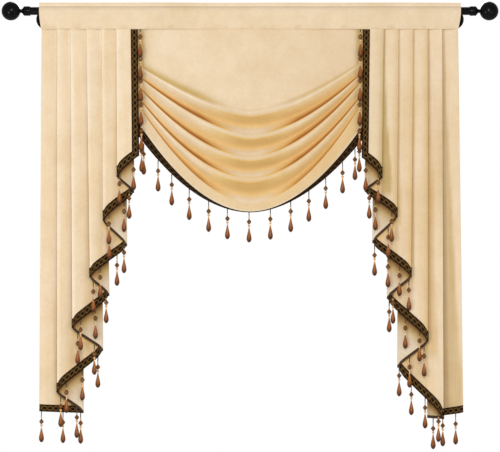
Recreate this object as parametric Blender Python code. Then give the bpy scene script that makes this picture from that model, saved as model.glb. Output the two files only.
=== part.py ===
"""Waterfall valance on its curtain rod: a swag between two zigzag cascades, all sewn to one
header band with a rod pocket, edged with woven braid and a fringe of hanging beads.

Metres, +Z up. X runs along the rod. The wall is the plane Y = 0, and the room lies at -Y. The
origin lies on the wall, midway between the centres of the two bracket plates.
"""

import math
from collections import namedtuple

import bmesh
import bpy
import numpy as np

MM = 0.001
GAP = 0.3 * MM

# Rod, finials and brackets
ROD_RADIUS = 12.5 * MM
ROD_HALF_LENGTH = 690.5 * MM
ROD_REACH = 85 * MM
ROD_HEIGHT = 23.6 * MM
ROD_SIDES = 16
BALL_RADIUS = 29.7 * MM
BALL_STEPS = 7
COLLAR_RADIUS = 15.4 * MM
COLLAR_LENGTH = 19.5 * MM
COLLAR_LIP = 1.5 * MM
NECK_RADIUS = 6 * MM
NECK_START = 26.4 * MM
BALL_CENTRE = 61 * MM
BRACKET_X = 643 * MM
PLATE_RADIUS = 32 * MM
PLATE_THICKNESS = 4 * MM
PLATE_BEVEL = 1 * MM
ARM_WIDTH = 14 * MM
ARM_FRONT = 92 * MM
ARM_UNDER = 6 * MM
ARM_TOP = 9.5 * MM
SADDLE_WALL = 2.5 * MM
SADDLE_FRONT_ANGLE = 210
SADDLE_BACK_ANGLE = 360
SADDLE_STEPS = 5
SADDLE_INSET = 2 * MM

# Header band: its half width, and where its layers lie, measured from the rod's axis
BAND_HALF_WIDTH = 660 * MM
BAND_BACK_SHORTER = 38 * MM
FLAP_FACE = -101.8 * MM
FLAP_BACK = -98.8 * MM
FLAP_BOTTOM = -57.5 * MM
FLAP_TOP_ROOM = 40 * MM
NOTCH_FRONT = -82 * MM
NOTCH_BACK = -55 * MM
TUCK_TOP = -47 * MM

# Cutters run past what they cut by this much
CUTTER_OVERRUN = 10 * MM

# Cloth, braid and the fringe's tape
CLOTH = 1.2 * MM
BRAID = 1.5 * MM
BRAID_LIFT = 0.4 * MM
BRAID_WIDTH = 22.5 * MM
MOST_BRAID_SLANT = 1.5
TAPE_WIDTH = 4 * MM
CLOTH_FACE_AT_TOP = -98.5 * MM
SWAG_OVERLAP = 1.072

# Cascades: the front plane leans out towards the hem, and the folds are small rolls
FRONT_LEAN = 8 * MM
FRONT_LEAN_DROP = 1260 * MM
FRONT_ROLL = 1.4 * MM
BACK_ROLL = 2.8 * MM
STRAIGHT = 0.9
LAYER_CUTS = (1 / 3, 2 / 3)
ROLL_CUTS = (0.0, 0.5, 1.0)
CASCADE_ROWS = (0.0, 0.2, 0.4, 0.6, 0.8, 1.0)
UPRIGHT_DROPS = (140, 230, 320, 400)
CORNER_ROOM = 1.1

# One row for each fold, from a cascade's inner edge to its outer edge, in millimetres: how far
# from the centre line it lies at the band and at its tip, how far below the rod its tip ends,
# how far behind the front plane it lies at the band and at its tip, and where the bead strands
# hang on the hem that leads to it, as shares of that stretch of hem. Odd rows are front folds.
Fold = namedtuple("Fold", "at_band at_tip drop back_band back_tip strands")
LEFT_FOLDS = (
    Fold(353, 348, 455, 0, 0, ()),
    Fold(420, 417, 522, 0, 0, (0.26, 0.92)),
    Fold(368, 365, 572, 15, 22, (0.74,)),
    Fold(467, 461, 660, 0, 0, (0.30, 0.82)),
    Fold(392, 387, 740, 17, 30, (0.25, 0.90)),
    Fold(514, 503, 837, 0, 0, (0.25, 0.72)),
    Fold(454, 443, 896, 17, 33, (0.17, 0.87)),
    Fold(564, 558, 997, 0, 0, (0.36, 0.78)),
    Fold(469, 463, 1070, 24, 46, (0.17, 0.73)),
    Fold(606, 606, 1199, 0, 0, (0.09, 0.44, 0.80)),
    Fold(524, 524, 1265, 20, 40, (0.13, 0.76)),
    Fold(655, 662, 1258, 0, 0, (0.04, 0.45, 0.95)),
)
RIGHT_FOLDS = (
    Fold(355, 351, 461, 0, 0, ()),
    Fold(421, 414, 525, 0, 0, (0.20, 0.84)),
    Fold(368, 361, 569, 15, 22, (0.76,)),
    Fold(468, 462, 648, 0, 0, (0.31, 0.84)),
    Fold(392, 385, 730, 17, 30, (0.36,)),
    Fold(514, 506, 836, 0, 0, (0.03, 0.39, 0.70)),
    Fold(440, 431, 906, 17, 33, (0.08, 0.77)),
    Fold(559, 559, 1038, 0, 0, (0.03, 0.44, 0.80)),
    Fold(467, 464, 1122, 24, 46, (0.12, 0.61, 0.96)),
    Fold(604, 608, 1283, 0, 0, (0.29, 0.60, 0.90)),
    Fold(558, 558, 1280, 20, 40, (0.65,)),
    Fold(654, 670, 1261, 0, 0, (0.41, 0.78)),
)

# Where strands hang on the upright inner edges, as millimetres below the rod
UPRIGHT_STRANDS = (58.5, 118, 188, 263, 345, 410)
UPRIGHT_HIDDEN = (9, 0, 0, 0, 0, 0)
UPRIGHT_REACH = 8.2 * MM
UPRIGHT_LEAN = 0.125
HEM_LEAN = 0.02

# Swag: one row for each line that runs across it, from the band to the hem, in millimetres:
# its drop below the rod at the left side, the centre and the right side, the powers of its
# left and right curves, its depth from the wall at the sides and at the centre, and the
# number of strips that the cloth takes from the line before to this one.
SWAG_HALF_WIDTH = 336.3 * MM
SWAG_COLUMNS = 24
SWAG_DEPTH_POWER = 2.2
Line = namedtuple("Line", "left centre right curve_left curve_right side front strips")
SWAG_LINES = (
    Line(47, 47, 47, 1, 1, 92.5, 97.9, 0),
    Line(58, 58, 58, 1, 1, 92.5, 97.9, 1),
    Line(177, 313, 169, 1.42, 1.52, 92, 110, 3),
    Line(187, 336, 179, 1.55, 1.60, 92, 117, 1),
    Line(209, 364, 203, 1.50, 1.50, 89, 101, 2),
    Line(216, 388, 209, 1.48, 1.45, 92, 116, 1),
    Line(222, 407, 215, 1.60, 1.60, 92, 121, 1),
    Line(247, 435, 232, 1.70, 1.65, 89, 104, 2),
    Line(253, 457, 237, 1.75, 1.70, 92, 118, 1),
    Line(259, 476, 246, 1.80, 1.80, 92, 122, 1),
    Line(284, 503, 276, 1.75, 1.80, 89, 105, 2),
    Line(290, 524, 282, 1.70, 1.80, 92, 118, 1),
    Line(296, 545, 289, 1.80, 1.80, 92, 121, 1),
    Line(313, 580, 310, 1.75, 1.75, 90, 104, 2),
    Line(320, 607, 316, 1.75, 1.75, 92, 116, 1),
    Line(372, 630, 386, 1.90, 1.90, 92.5, 114, 2),
    Line(412, 631, 425, 1.95, 1.88, 92.5, 93, 1),
)
SWAG_STRANDS = (-334, -289, -246, -191, -130, -71, -3, 64, 128, 185, 238, 291, 330)
SWAG_REACH = 3 * MM

# A bead strand, measured down from the hem, with four sides: cord, faceted bead, small round
# bead and long drop
Ring = namedtuple("Ring", "drop radius")
STRAND = (
    Ring(22, 0.9),
    Ring(32, 7.3),
    Ring(40.5, 1.6),
    Ring(44, 3.8),
    Ring(48.5, 1.8),
    Ring(82.7, 7.7),
)
STRAND_LENGTH = 97 * MM
STRAND_SIDES = 4
ROOT_RADIUS = 0.45 * MM
ROOT_DEPTH = 2 * MM
KNEE_RADIUS = 0.8 * MM
BELOW_HEM = 1.5 * MM
SWING_DROP = 28 * MM
SWING_STEP = 1 * MM
MOST_SWING = 24 * MM
STRAND_CLEARANCE = 0.5 * MM

# The space that one strand's beads take, for hanging strands clear of each other
BEAD_SPACE = (
    Ring(4, 1),
    Ring(14, 1),
    Ring(23, 2),
    Ring(27, 5.5),
    Ring(32, 7.6),
    Ring(37, 5.5),
    Ring(44, 4),
    Ring(54, 3),
    Ring(62, 5),
    Ring(70, 6.6),
    Ring(78, 7.8),
    Ring(84, 8),
    Ring(91, 6.5),
)


def clear_scene():
    for obj in list(bpy.data.objects):
        bpy.data.objects.remove(obj)


def finish_material(name, colour, roughness, metallic):
    material = bpy.data.materials.new(name)
    material.use_nodes = True
    shader = material.node_tree.nodes["Principled BSDF"]
    shader.inputs["Base Color"].default_value = (*colour, 1)
    shader.inputs["Roughness"].default_value = roughness
    shader.inputs["Metallic"].default_value = metallic
    return material


def add_object(name, verts, faces, material, smooth_angle=None):
    """A closed mesh object with its faces turned outwards."""
    mesh = bpy.data.meshes.new(name)
    mesh.from_pydata([tuple(map(float, v)) for v in verts], [], faces)
    shape = bmesh.new()
    shape.from_mesh(mesh)
    bmesh.ops.recalc_face_normals(shape, faces=shape.faces)
    shape.to_mesh(mesh)
    shape.free()
    mesh.materials.append(material)
    if smooth_angle is not None:
        mesh.shade_smooth()
        mesh.set_sharp_from_angle(angle=smooth_angle)
    obj = bpy.data.objects.new(name, mesh)
    bpy.context.collection.objects.link(obj)
    return obj


def helper(name, verts, faces):
    """A solid that only a Boolean reads."""
    obj = add_object(name, verts, faces, bpy.data.materials[0])
    obj.hide_render = True
    obj.display_type = "WIRE"
    return obj


def combine(obj, other, operation):
    modifier = obj.modifiers.new(other.name, "BOOLEAN")
    modifier.operation = operation
    modifier.object = other
    modifier.solver = "EXACT"


def slab(points, normals, front, back):
    """Vertices and faces of the closed slab between two offsets of a grid of points."""
    rows, columns = points.shape[:2]
    layers = [points + normals * front, points + normals * back]
    verts = np.concatenate([layer.reshape(-1, 3) for layer in layers])

    def at(layer, row, column):
        return (layer * rows + row) * columns + column

    faces = []
    for r in range(rows - 1):
        for c in range(columns - 1):
            faces.append((at(0, r, c), at(0, r, c + 1), at(0, r + 1, c + 1), at(0, r + 1, c)))
            faces.append((at(1, r, c), at(1, r + 1, c), at(1, r + 1, c + 1), at(1, r, c + 1)))
    rim = [(0, c) for c in range(columns - 1)]
    rim += [(r, columns - 1) for r in range(rows - 1)]
    rim += [(rows - 1, c) for c in range(columns - 1, 0, -1)]
    rim += [(r, 0) for r in range(rows - 1, 0, -1)]
    for here, there in zip(rim, rim[1:] + rim[:1]):
        faces.append((at(0, *here), at(1, *here), at(1, *there), at(0, *there)))
    return verts, faces


def prism(outline, x_start, x_end):
    """A solid with one outline, given as (y, z), between two places along X."""
    count = len(outline)
    verts = [(x, y, z) for x in (x_start, x_end) for y, z in outline]
    faces = [tuple(range(count)), tuple(range(count, 2 * count))]
    for i in range(count):
        j = (i + 1) % count
        faces.append((i, j, count + j, count + i))
    return verts, faces


def turned(profile, sides):
    """A solid turned about X from (x, radius) pairs, whose ends lie on the axis."""
    verts = [(profile[0][0], 0, 0)]
    for x, radius in profile[1:-1]:
        for i in range(sides):
            angle = 2 * math.pi * i / sides
            verts.append((x, radius * math.cos(angle), radius * math.sin(angle)))
    verts.append((profile[-1][0], 0, 0))
    last = len(verts) - 1
    faces = []
    rings = len(profile) - 2
    for i in range(sides):
        j = (i + 1) % sides
        faces.append((0, 1 + i, 1 + j))
        faces.append((last, last - sides + j, last - sides + i))
        for ring in range(rings - 1):
            low = 1 + ring * sides
            faces.append((low + i, low + sides + i, low + sides + j, low + j))
    return verts, faces


def on_rod(verts):
    return [(x, y - ROD_REACH, z + ROD_HEIGHT) for x, y, z in verts]


def make_rod(black):
    ends = (-ROD_HALF_LENGTH, ROD_HALF_LENGTH)
    profile = [(ends[0], 0), (ends[0], ROD_RADIUS), (ends[1], ROD_RADIUS), (ends[1], 0)]
    verts, faces = turned(profile, ROD_SIDES)
    add_object("rod", on_rod(verts), faces, black, math.radians(40))


def finial_profile():
    """Collar, neck and ball, from the rod's end outwards."""
    start = ROD_HALF_LENGTH + GAP
    profile = [(start, 0), (start, COLLAR_RADIUS - COLLAR_LIP)]
    profile.append((start + COLLAR_LIP, COLLAR_RADIUS))
    profile.append((start + COLLAR_LENGTH, COLLAR_RADIUS))
    profile.append((start + NECK_START, NECK_RADIUS))
    first_angle = math.asin(NECK_RADIUS / BALL_RADIUS)
    for i in range(BALL_STEPS + 1):
        angle = first_angle + (math.pi - first_angle) * i / BALL_STEPS
        along = start + BALL_CENTRE - BALL_RADIUS * math.cos(angle)
        profile.append((along, BALL_RADIUS * math.sin(angle)))
    profile[-1] = (profile[-1][0], 0)
    return profile


def make_finial(name, side, black):
    verts, faces = turned([(side * x, radius) for x, radius in finial_profile()], ROD_SIDES)
    add_object(name, on_rod(verts), faces, black, math.radians(40))


def saddle_outline():
    """The cup under the rod, round in front and up behind, joined to the arm's top."""
    step = (SADDLE_BACK_ANGLE - SADDLE_FRONT_ANGLE) / SADDLE_STEPS
    angles = [SADDLE_FRONT_ANGLE + step * i for i in range(SADDLE_STEPS + 1)]
    clear = (ROD_RADIUS + GAP) / math.cos(math.radians(step / 2))
    inner = [polar_on_rod(clear, angle) for angle in angles]
    outer = [polar_on_rod(clear + SADDLE_WALL, angle) for angle in angles]
    return inner + outer[::-1]


def polar_on_rod(radius, degrees):
    angle = math.radians(degrees)
    return radius * math.cos(angle) - ROD_REACH, radius * math.sin(angle) + ROD_HEIGHT


def make_bracket(name, side, black):
    """A round wall plate with a square arm that ends in a cup under the rod."""
    centre = side * BRACKET_X
    rim = PLATE_RADIUS - PLATE_BEVEL
    shoulder = PLATE_THICKNESS - PLATE_BEVEL
    profile = [(0, 0), (0, PLATE_RADIUS), (shoulder, PLATE_RADIUS), (PLATE_THICKNESS, rim)]
    profile.append((PLATE_THICKNESS, 0))
    verts, faces = turned(profile, 2 * ROD_SIDES)
    verts = [(centre + y, -x, z) for x, y, z in verts]
    plate = add_object(name, verts, faces, black, math.radians(30))

    west, east = centre - ARM_WIDTH / 2, centre + ARM_WIDTH / 2
    back = -PLATE_THICKNESS / 2
    arm = [(back, -ARM_UNDER), (back, ARM_UNDER), (-ROD_REACH / 2, ARM_UNDER)]
    arm += [(-ROD_REACH + ROD_RADIUS, ARM_TOP), (-ARM_FRONT, ARM_TOP), (-ARM_FRONT, ARM_UNDER / 2)]
    arm += [(-ARM_FRONT + ARM_UNDER, -ARM_UNDER)]
    combine(plate, helper(f"{name}_arm", *prism(arm, west, east)), "UNION")
    cup = prism(saddle_outline(), west + SADDLE_INSET, east - SADDLE_INSET)
    combine(plate, helper(f"{name}_cup", *cup), "UNION")


def make_header(cloth):
    """The folded band: round the rod, stitched above it into a flap, and down to the seam."""
    outer = [
        (FLAP_FACE, FLAP_BOTTOM),
        (FLAP_FACE, -5 * MM),
        (-100.4 * MM, 3.8 * MM),
        (-96 * MM, 11 * MM),
        (-90 * MM, 14.6 * MM),
        (-86.7 * MM, 15.4 * MM),
        (-86.7 * MM, 26.4 * MM),
        (-83.3 * MM, 26.4 * MM),
        (-83.3 * MM, 15.4 * MM),
        (-80 * MM, 14.6 * MM),
        (-74.6 * MM, 10.6 * MM),
        (-70.6 * MM, 3.8 * MM),
        (-69.7 * MM, -6 * MM),
        (-72 * MM, -20 * MM),
        (-85 * MM, -37 * MM),
        (FLAP_BACK, -46.5 * MM),
        (FLAP_BACK, FLAP_BOTTOM),
    ]
    pocket = [
        (-100.3 * MM, -43.5 * MM),
        (-100.3 * MM, -5 * MM),
        (-98.9 * MM, 3.2 * MM),
        (-95 * MM, 9.8 * MM),
        (-89.5 * MM, 12.8 * MM),
        (-80.5 * MM, 12.8 * MM),
        (-75.7 * MM, 9.5 * MM),
        (-72.1 * MM, 3.2 * MM),
        (-71.2 * MM, -6 * MM),
        (-73.4 * MM, -19.2 * MM),
        (-86 * MM, -35.5 * MM),
    ]
    above = FLAP_TOP_ROOM
    below = FLAP_BOTTOM - CUTTER_OVERRUN
    notch = [
        (FLAP_BACK, below),
        (FLAP_BACK, -ARM_UNDER),
        (NOTCH_FRONT, -ARM_UNDER),
        (NOTCH_FRONT, above),
        (NOTCH_BACK, above),
        (NOTCH_BACK, below),
    ]

    def raised(outline):
        return [(y, z + ROD_HEIGHT) for y, z in outline]

    half = BAND_HALF_WIDTH
    band = add_object("header_band", *prism(raised(outer), -half, half), cloth)
    past = half + CUTTER_OVERRUN
    combine(band, helper("rod_pocket", *prism(raised(pocket), -past, past)), "DIFFERENCE")
    for name, side in (("left", -1), ("right", 1)):
        near, far = side * (half - BAND_BACK_SHORTER), side * past
        cut = helper(f"bracket_room_{name}", *prism(raised(notch), near, far))
        combine(band, cut, "DIFFERENCE")


def fold_circle(fold, index, last, drop):
    """Centre, as (distance from the centre line, y), and radius of one roll of cloth."""
    share = (drop + TUCK_TOP) / (fold.drop * MM + TUCK_TOP)
    across = (fold.at_band + (fold.at_tip - fold.at_band) * share) * MM
    behind = (fold.back_band + (fold.back_tip - fold.back_band) * share) * MM
    plane = CLOTH_FACE_AT_TOP + CLOTH / 2 - FRONT_LEAN * (drop + TUCK_TOP) / FRONT_LEAN_DROP
    if index in (0, last):
        return (across, plane + behind), 0.0
    if index % 2:
        return (across - FRONT_ROLL, plane + behind + FRONT_ROLL), FRONT_ROLL
    return (across + BACK_ROLL, plane + behind - BACK_ROLL), BACK_ROLL


def layer_heading(folds, layer, drop):
    """The direction of the straight cloth between two rolls, and the two circles."""
    last = len(folds) - 1
    start, start_radius = fold_circle(folds[layer], layer, last, drop)
    end, end_radius = fold_circle(folds[layer + 1], layer + 1, last, drop)
    across, back = end[0] - start[0], end[1] - start[1]
    swing = math.asin((start_radius + end_radius) / math.hypot(across, back))
    heading = math.atan2(back, across) + (swing if layer % 2 else -swing)
    return heading, (start, start_radius), (end, end_radius)


def cascade_point(folds, place, drop):
    """A point of a cascade's middle surface and its outward normal, both as (across, y).

    place counts the layers from the inner edge: the first nine tenths of each unit are the
    straight cloth, and the last tenth is the roll at its end.
    """
    layer = min(int(place + 1e-9), len(folds) - 2)
    share = (place - layer) / STRAIGHT
    heading, (start, start_radius), (end, end_radius) = layer_heading(folds, layer, drop)
    outward = 1 if layer % 2 == 0 else -1
    if share <= 1 + 1e-9:
        left = np.array((-math.sin(heading), math.cos(heading)))
        first = np.array(start) + outward * start_radius * left
        second = np.array(end) - outward * end_radius * left
        return first + (second - first) * share, -left
    turn = (place - layer - STRAIGHT) / (1 - STRAIGHT)
    following = layer_heading(folds, layer + 1, drop)[0]
    while outward * (following - heading) < 0:
        following += outward * 2 * math.pi
    heading += (following - heading) * turn
    left = np.array((-math.sin(heading), math.cos(heading)))
    return np.array(end) - outward * end_radius * left, -left


def hem_drop(folds, place):
    """How far below the rod the braid's lower edge lies."""
    layer = min(int(place + 1e-9), len(folds) - 2)
    share = min((place - layer) / STRAIGHT, 1)
    return (folds[layer].drop + (folds[layer + 1].drop - folds[layer].drop) * share) * MM


def braid_height(folds, place):
    """The braid's height, measured straight up, on a slanting hem."""
    def on_layer(layer):
        fold, following = folds[layer], folds[layer + 1]
        slope = (following.drop - fold.drop) / (following.at_tip - fold.at_tip)
        return BRAID_WIDTH * min(math.hypot(1, slope), MOST_BRAID_SLANT)

    last = len(folds) - 2
    layer = min(int(place + 1e-9), last)
    share = min((place - layer) / STRAIGHT, 1)
    here = on_layer(layer)
    before = (here + on_layer(max(layer - 1, 0))) / 2
    after = (here + on_layer(min(layer + 1, last))) / 2
    return before + (after - before) * share


def cascade_places(folds):
    """The places where a cascade's mesh has a column."""
    places = []
    for layer in range(len(folds) - 1):
        places += [layer + STRAIGHT * cut for cut in (0.0, *LAYER_CUTS)]
        places += [layer + STRAIGHT + (1 - STRAIGHT) * cut for cut in ROLL_CUTS[:-1]]
    places[-1:] = []
    return places


def edge_share(folds, width):
    """The place on the first layer that lies this far in from its edge."""
    return STRAIGHT * width / ((folds[1].at_band - folds[0].at_band) * MM)


def cascade_grid(folds, side, rows):
    """World points and normals for rows of (place, drop) pairs."""
    points, normals = [], []
    for row in rows:
        places = [cascade_point(folds, place, drop) for place, drop in row]
        drops = [drop for _, drop in row]
        points.append(
            [(side * at[0], at[1], ROD_HEIGHT - drop) for (at, _), drop in zip(places, drops)]
        )
        normals.append([(side * normal[0], normal[1], 0) for _, normal in places])
    return np.array(points), np.array(normals)


def make_cascade(name, folds, side, cloth):
    """The pleated panel: one sheet folded back and forth, its hem cut to a slant."""
    places = [edge_share(folds, TAPE_WIDTH + GAP)] + cascade_places(folds)[1:]
    rows = []
    for share in CASCADE_ROWS:
        row = []
        for place in places:
            braid_top = hem_drop(folds, place) - braid_height(folds, place)
            row.append((place, -TUCK_TOP + (braid_top + TUCK_TOP) * share))
        rows.append(row)
    rows.append([(place, hem_drop(folds, place) - TAPE_WIDTH - GAP) for place in places])
    points, normals = cascade_grid(folds, side, rows)
    add_object(name, *slab(points, normals, CLOTH / 2, -CLOTH / 2), cloth, math.radians(50))


def edging_rows(folds, width_share, start, height):
    """The outer and inner lines of an edging that goes down the upright edge and the hem."""
    drops = [start] + [drop * MM for drop in UPRIGHT_DROPS]
    outer = [(0.0, drop) for drop in drops]
    inner = [(width_share, drop) for drop in drops]
    corner_top = hem_drop(folds, width_share) - height(width_share)
    outer.append((0.0, hem_drop(folds, 0.0)))
    inner.append((width_share, corner_top))
    for place in cascade_places(folds)[1:]:
        if place > width_share * CORNER_ROOM:
            outer.append((place, hem_drop(folds, place)))
            inner.append((place, hem_drop(folds, place) - height(place)))
    return outer, inner


def make_cascade_braid(name, folds, side, woven):
    """Woven braid sewn to the right side, down the upright edge and along the whole hem."""
    start = -FLAP_BOTTOM + GAP
    share = edge_share(folds, BRAID_WIDTH)
    rows = edging_rows(folds, share, start, lambda place: braid_height(folds, place))
    points, normals = cascade_grid(folds, side, rows)
    under = CLOTH / 2 + BRAID_LIFT
    add_object(name, *slab(points, normals, under + BRAID, under), woven, math.radians(50))


def forward(drop, lean, swing):
    """How far a strand stands out towards the room at this drop below its root."""
    return lean * drop + swing * min(max(drop - BELOW_HEM, 0) / SWING_DROP, 1)


def strand(edge, inward, reach, lean, swing, hidden):
    """Vertices and faces of one bead strand that leaves its tape at a point of its edge.

    inward points from the edge into the tape. A strand with a reach first goes out past the
    edge by that much and then down.
    """
    edge = np.array(edge)
    inward = np.array(inward) / np.linalg.norm(inward)
    down = np.array((0.0, 0.0, -1.0))
    axis = np.cross(-inward, down) if reach else np.array((1.0, 0.0, 0.0))
    axis = axis / np.linalg.norm(axis)
    top = edge - inward * reach
    stations = [(edge + inward * ROOT_DEPTH, ROOT_RADIUS, -inward)]
    if reach:
        knee = down - inward
        stations.append((top, KNEE_RADIUS, knee / np.linalg.norm(knee)))
    if swing:
        stations.append((hung(top, BELOW_HEM, lean, swing), KNEE_RADIUS, down))
    for ring in STRAND:
        drop = (ring.drop - hidden) * MM
        stations.append((hung(top, drop, lean, swing), ring.radius * MM, down))
    verts = []
    for centre, radius, heading in stations:
        second = np.cross(heading, axis)
        for i in range(STRAND_SIDES):
            angle = 2 * math.pi * i / STRAND_SIDES
            verts.append(centre + radius * (math.cos(angle) * axis + math.sin(angle) * second))
    verts.append(hung(top, STRAND_LENGTH - hidden * MM, lean, swing))
    faces = [tuple(range(STRAND_SIDES))]
    for station in range(len(stations) - 1):
        low = station * STRAND_SIDES
        for i in range(STRAND_SIDES):
            j = (i + 1) % STRAND_SIDES
            faces.append((low + i, low + j, low + STRAND_SIDES + j, low + STRAND_SIDES + i))
    for i in range(STRAND_SIDES):
        low = len(verts) - 1 - STRAND_SIDES
        faces.append((low + i, low + (i + 1) % STRAND_SIDES, len(verts) - 1))
    return verts, faces


def hung(top, drop, lean, swing):
    return top + np.array((0.0, -forward(drop, lean, swing), -drop))


def bead_space(top, lean, swing, hidden=0):
    """Centres and radii of the balls of space that a strand's beads take."""
    centres = [hung(np.array(top), (ball.drop - hidden) * MM, lean, swing) for ball in BEAD_SPACE]
    return np.array(centres), np.array([ball.radius * MM for ball in BEAD_SPACE])


def clear_of_strands(space, taken):
    """True where a strand's beads keep their distance from all the strands before it."""
    centres, radii = space
    for others, other_radii in taken:
        apart = np.linalg.norm(centres[:, None] - others[None], axis=2)
        if (apart < radii[:, None] + other_radii[None] + STRAND_CLEARANCE).any():
            return False
    return True


def clear_of_cloth(space, folds, side, layer):
    """True where a strand's beads lie in front of the layers that hang behind its own."""
    for centre, radius in zip(*space):
        drop = ROD_HEIGHT - centre[2]
        for behind in range(layer + 1, min(layer + 4, len(folds) - 1)):
            face = CLOTH / 2 if behind % 2 else CLOTH / 2 + BRAID_LIFT + BRAID
            start = cascade_point(folds, behind, drop)[0]
            end = cascade_point(folds, behind + STRAIGHT, drop)[0]
            for across in (side * centre[0] - radius / 2, side * centre[0] + radius / 2):
                share = (across - start[0]) / (end[0] - start[0])
                hem = hem_drop(folds, behind + STRAIGHT * min(max(share, 0), 1))
                if not 0 <= share <= 1 or drop - radius > hem:
                    continue
                surface = start[1] + (end[1] - start[1]) * share - face
                if centre[1] + radius + STRAND_CLEARANCE > surface:
                    return False
    return True


def hem_strands(folds, side, taken):
    """Root and swing of each strand on a cascade's hem, from the outer edge inwards.

    Each is swung towards the room, a little at a time, until its beads clear the cloth behind
    them and the strands that hang behind it.
    """
    strands = []
    for layer in range(len(folds) - 2, -1, -1):
        for along in folds[layer + 1].strands[::-1]:
            place = layer + STRAIGHT * along
            drop = hem_drop(folds, place)
            across, y = cascade_point(folds, place, drop)[0]
            edge = np.array((side * across, y, ROD_HEIGHT - drop))
            swing = 0.0
            while swing < MOST_SWING:
                space = bead_space(edge, HEM_LEAN, swing)
                if clear_of_strands(space, taken) and clear_of_cloth(space, folds, side, layer):
                    break
                swing += SWING_STEP
            taken.append(bead_space(edge, HEM_LEAN, swing))
            strands.append((edge, swing))
    return strands


def joined(shapes):
    verts, faces = [], []
    for more_verts, more_faces in shapes:
        start = len(verts)
        verts += more_verts
        faces += [tuple(start + i for i in face) for face in more_faces]
    return verts, faces


def make_cascade_fringe(name, folds, side, beads):
    """A narrow tape that continues the cloth under the braid, with the bead strands on it."""
    share = edge_share(folds, TAPE_WIDTH)
    rows = edging_rows(folds, share, -TUCK_TOP, lambda place: TAPE_WIDTH)
    points, normals = cascade_grid(folds, side, rows)
    tape = add_object(name, *slab(points, normals, CLOTH / 2, -CLOTH / 2), beads)
    taken = []
    strands = []
    for drop, hidden in zip(UPRIGHT_STRANDS, UPRIGHT_HIDDEN):
        across, y = cascade_point(folds, 0.0, drop * MM)[0]
        edge = np.array((side * across, y, ROD_HEIGHT - drop * MM))
        strands.append(strand(edge, (side, 0, 0), UPRIGHT_REACH, UPRIGHT_LEAN, 0.0, hidden))
        top = edge - np.array((side * UPRIGHT_REACH, 0, 0))
        taken.append(bead_space(top, UPRIGHT_LEAN, 0.0, hidden))
    for edge, swing in hem_strands(folds, side, taken):
        strands.append(strand(edge, (0, 0, 1), 0, HEM_LEAN, swing, 0))
    combine(tape, helper(f"{name}_strands", *joined(strands)), "UNION")


def swag_line(line, x):
    """Drop below the rod and depth from the wall of one of the swag's lines, in metres."""
    side, power = (line.left, line.curve_left) if x < 0 else (line.right, line.curve_right)
    share = abs(x) / SWAG_HALF_WIDTH
    drop = side + (line.centre - side) * (1 - share**power)
    depth = line.side + (line.front - line.side) * max(0, 1 - share**SWAG_DEPTH_POWER)
    return drop * MM, depth * MM


def swag_point(x, index, share):
    """A point of the swag, a share of the way from one line to the next."""
    drop, depth = swag_line(SWAG_LINES[index], x)
    next_drop, next_depth = swag_line(SWAG_LINES[index + 1], x)
    eased = share
    if index < len(SWAG_LINES) - 2:
        eased = (1 - math.cos(math.pi * share)) / 2
    y = -(depth + (next_depth - depth) * eased)
    return np.array((x, y, ROD_HEIGHT - drop - (next_drop - drop) * share))


def swag_xs():
    """The swag's columns: they run a little way behind both cascades."""
    reach = SWAG_HALF_WIDTH * SWAG_OVERLAP
    return [reach * (2 * i / SWAG_COLUMNS - 1) for i in range(SWAG_COLUMNS + 1)]


def grid_normals(points):
    """Normals of a grid of points, towards the room where the grid hangs flat."""
    down = np.gradient(points, axis=0)
    right = np.gradient(points, axis=1)
    normals = np.cross(down, right)
    return normals / np.linalg.norm(normals, axis=2, keepdims=True)


def swag_grid():
    """All points of the swag down to the braid's lower edge, with the last line's shares."""
    rows = [[swag_point(x, 0, 0.0) for x in swag_xs()]]
    for index, line in enumerate(SWAG_LINES[1:]):
        for step in range(line.strips):
            share = (step + 1) / line.strips
            rows.append([swag_point(x, index, share) for x in swag_xs()])
    points = np.array(rows)
    return points, grid_normals(points)


def make_swag(cloth, woven, beads):
    """The draped panel, its braid along the hem, and the tape that carries its beads."""
    points, normals = swag_grid()
    tape_share = TAPE_WIDTH / BRAID_WIDTH
    gap_share = GAP / BRAID_WIDTH
    braid_top, hem = points[-2], points[-1]
    cloth_end = hem + (braid_top - hem) * (tape_share + gap_share)
    panel = np.concatenate([points[:-1], cloth_end[None]])
    half = CLOTH / 2
    add_object("swag", *slab(panel, normals, half, -half), cloth, math.radians(60))

    last = normals[-1]
    under = half + BRAID_LIFT
    braid_points = np.array([braid_top, cloth_end, hem])
    braid_normals = np.array([normals[-2], last, last])
    strip = slab(braid_points, braid_normals, under + BRAID, under)
    add_object("braid_swag", *strip, woven, math.radians(60))

    tape_points = np.array([hem + (braid_top - hem) * tape_share, hem])
    tape_normals = np.array([last, last])
    tape = add_object("fringe_swag", *slab(tape_points, tape_normals, half, -half), beads)
    strands = []
    for offset in SWAG_STRANDS:
        x = offset * MM
        index = len(SWAG_LINES) - 2
        edge, inner = swag_point(x, index, 1.0), swag_point(x, index, 0.9)
        strands.append(strand(edge, inner - edge, SWAG_REACH, 0.0, 0.0, 0))
    combine(tape, helper("fringe_swag_strands", *joined(strands)), "UNION")


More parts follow.
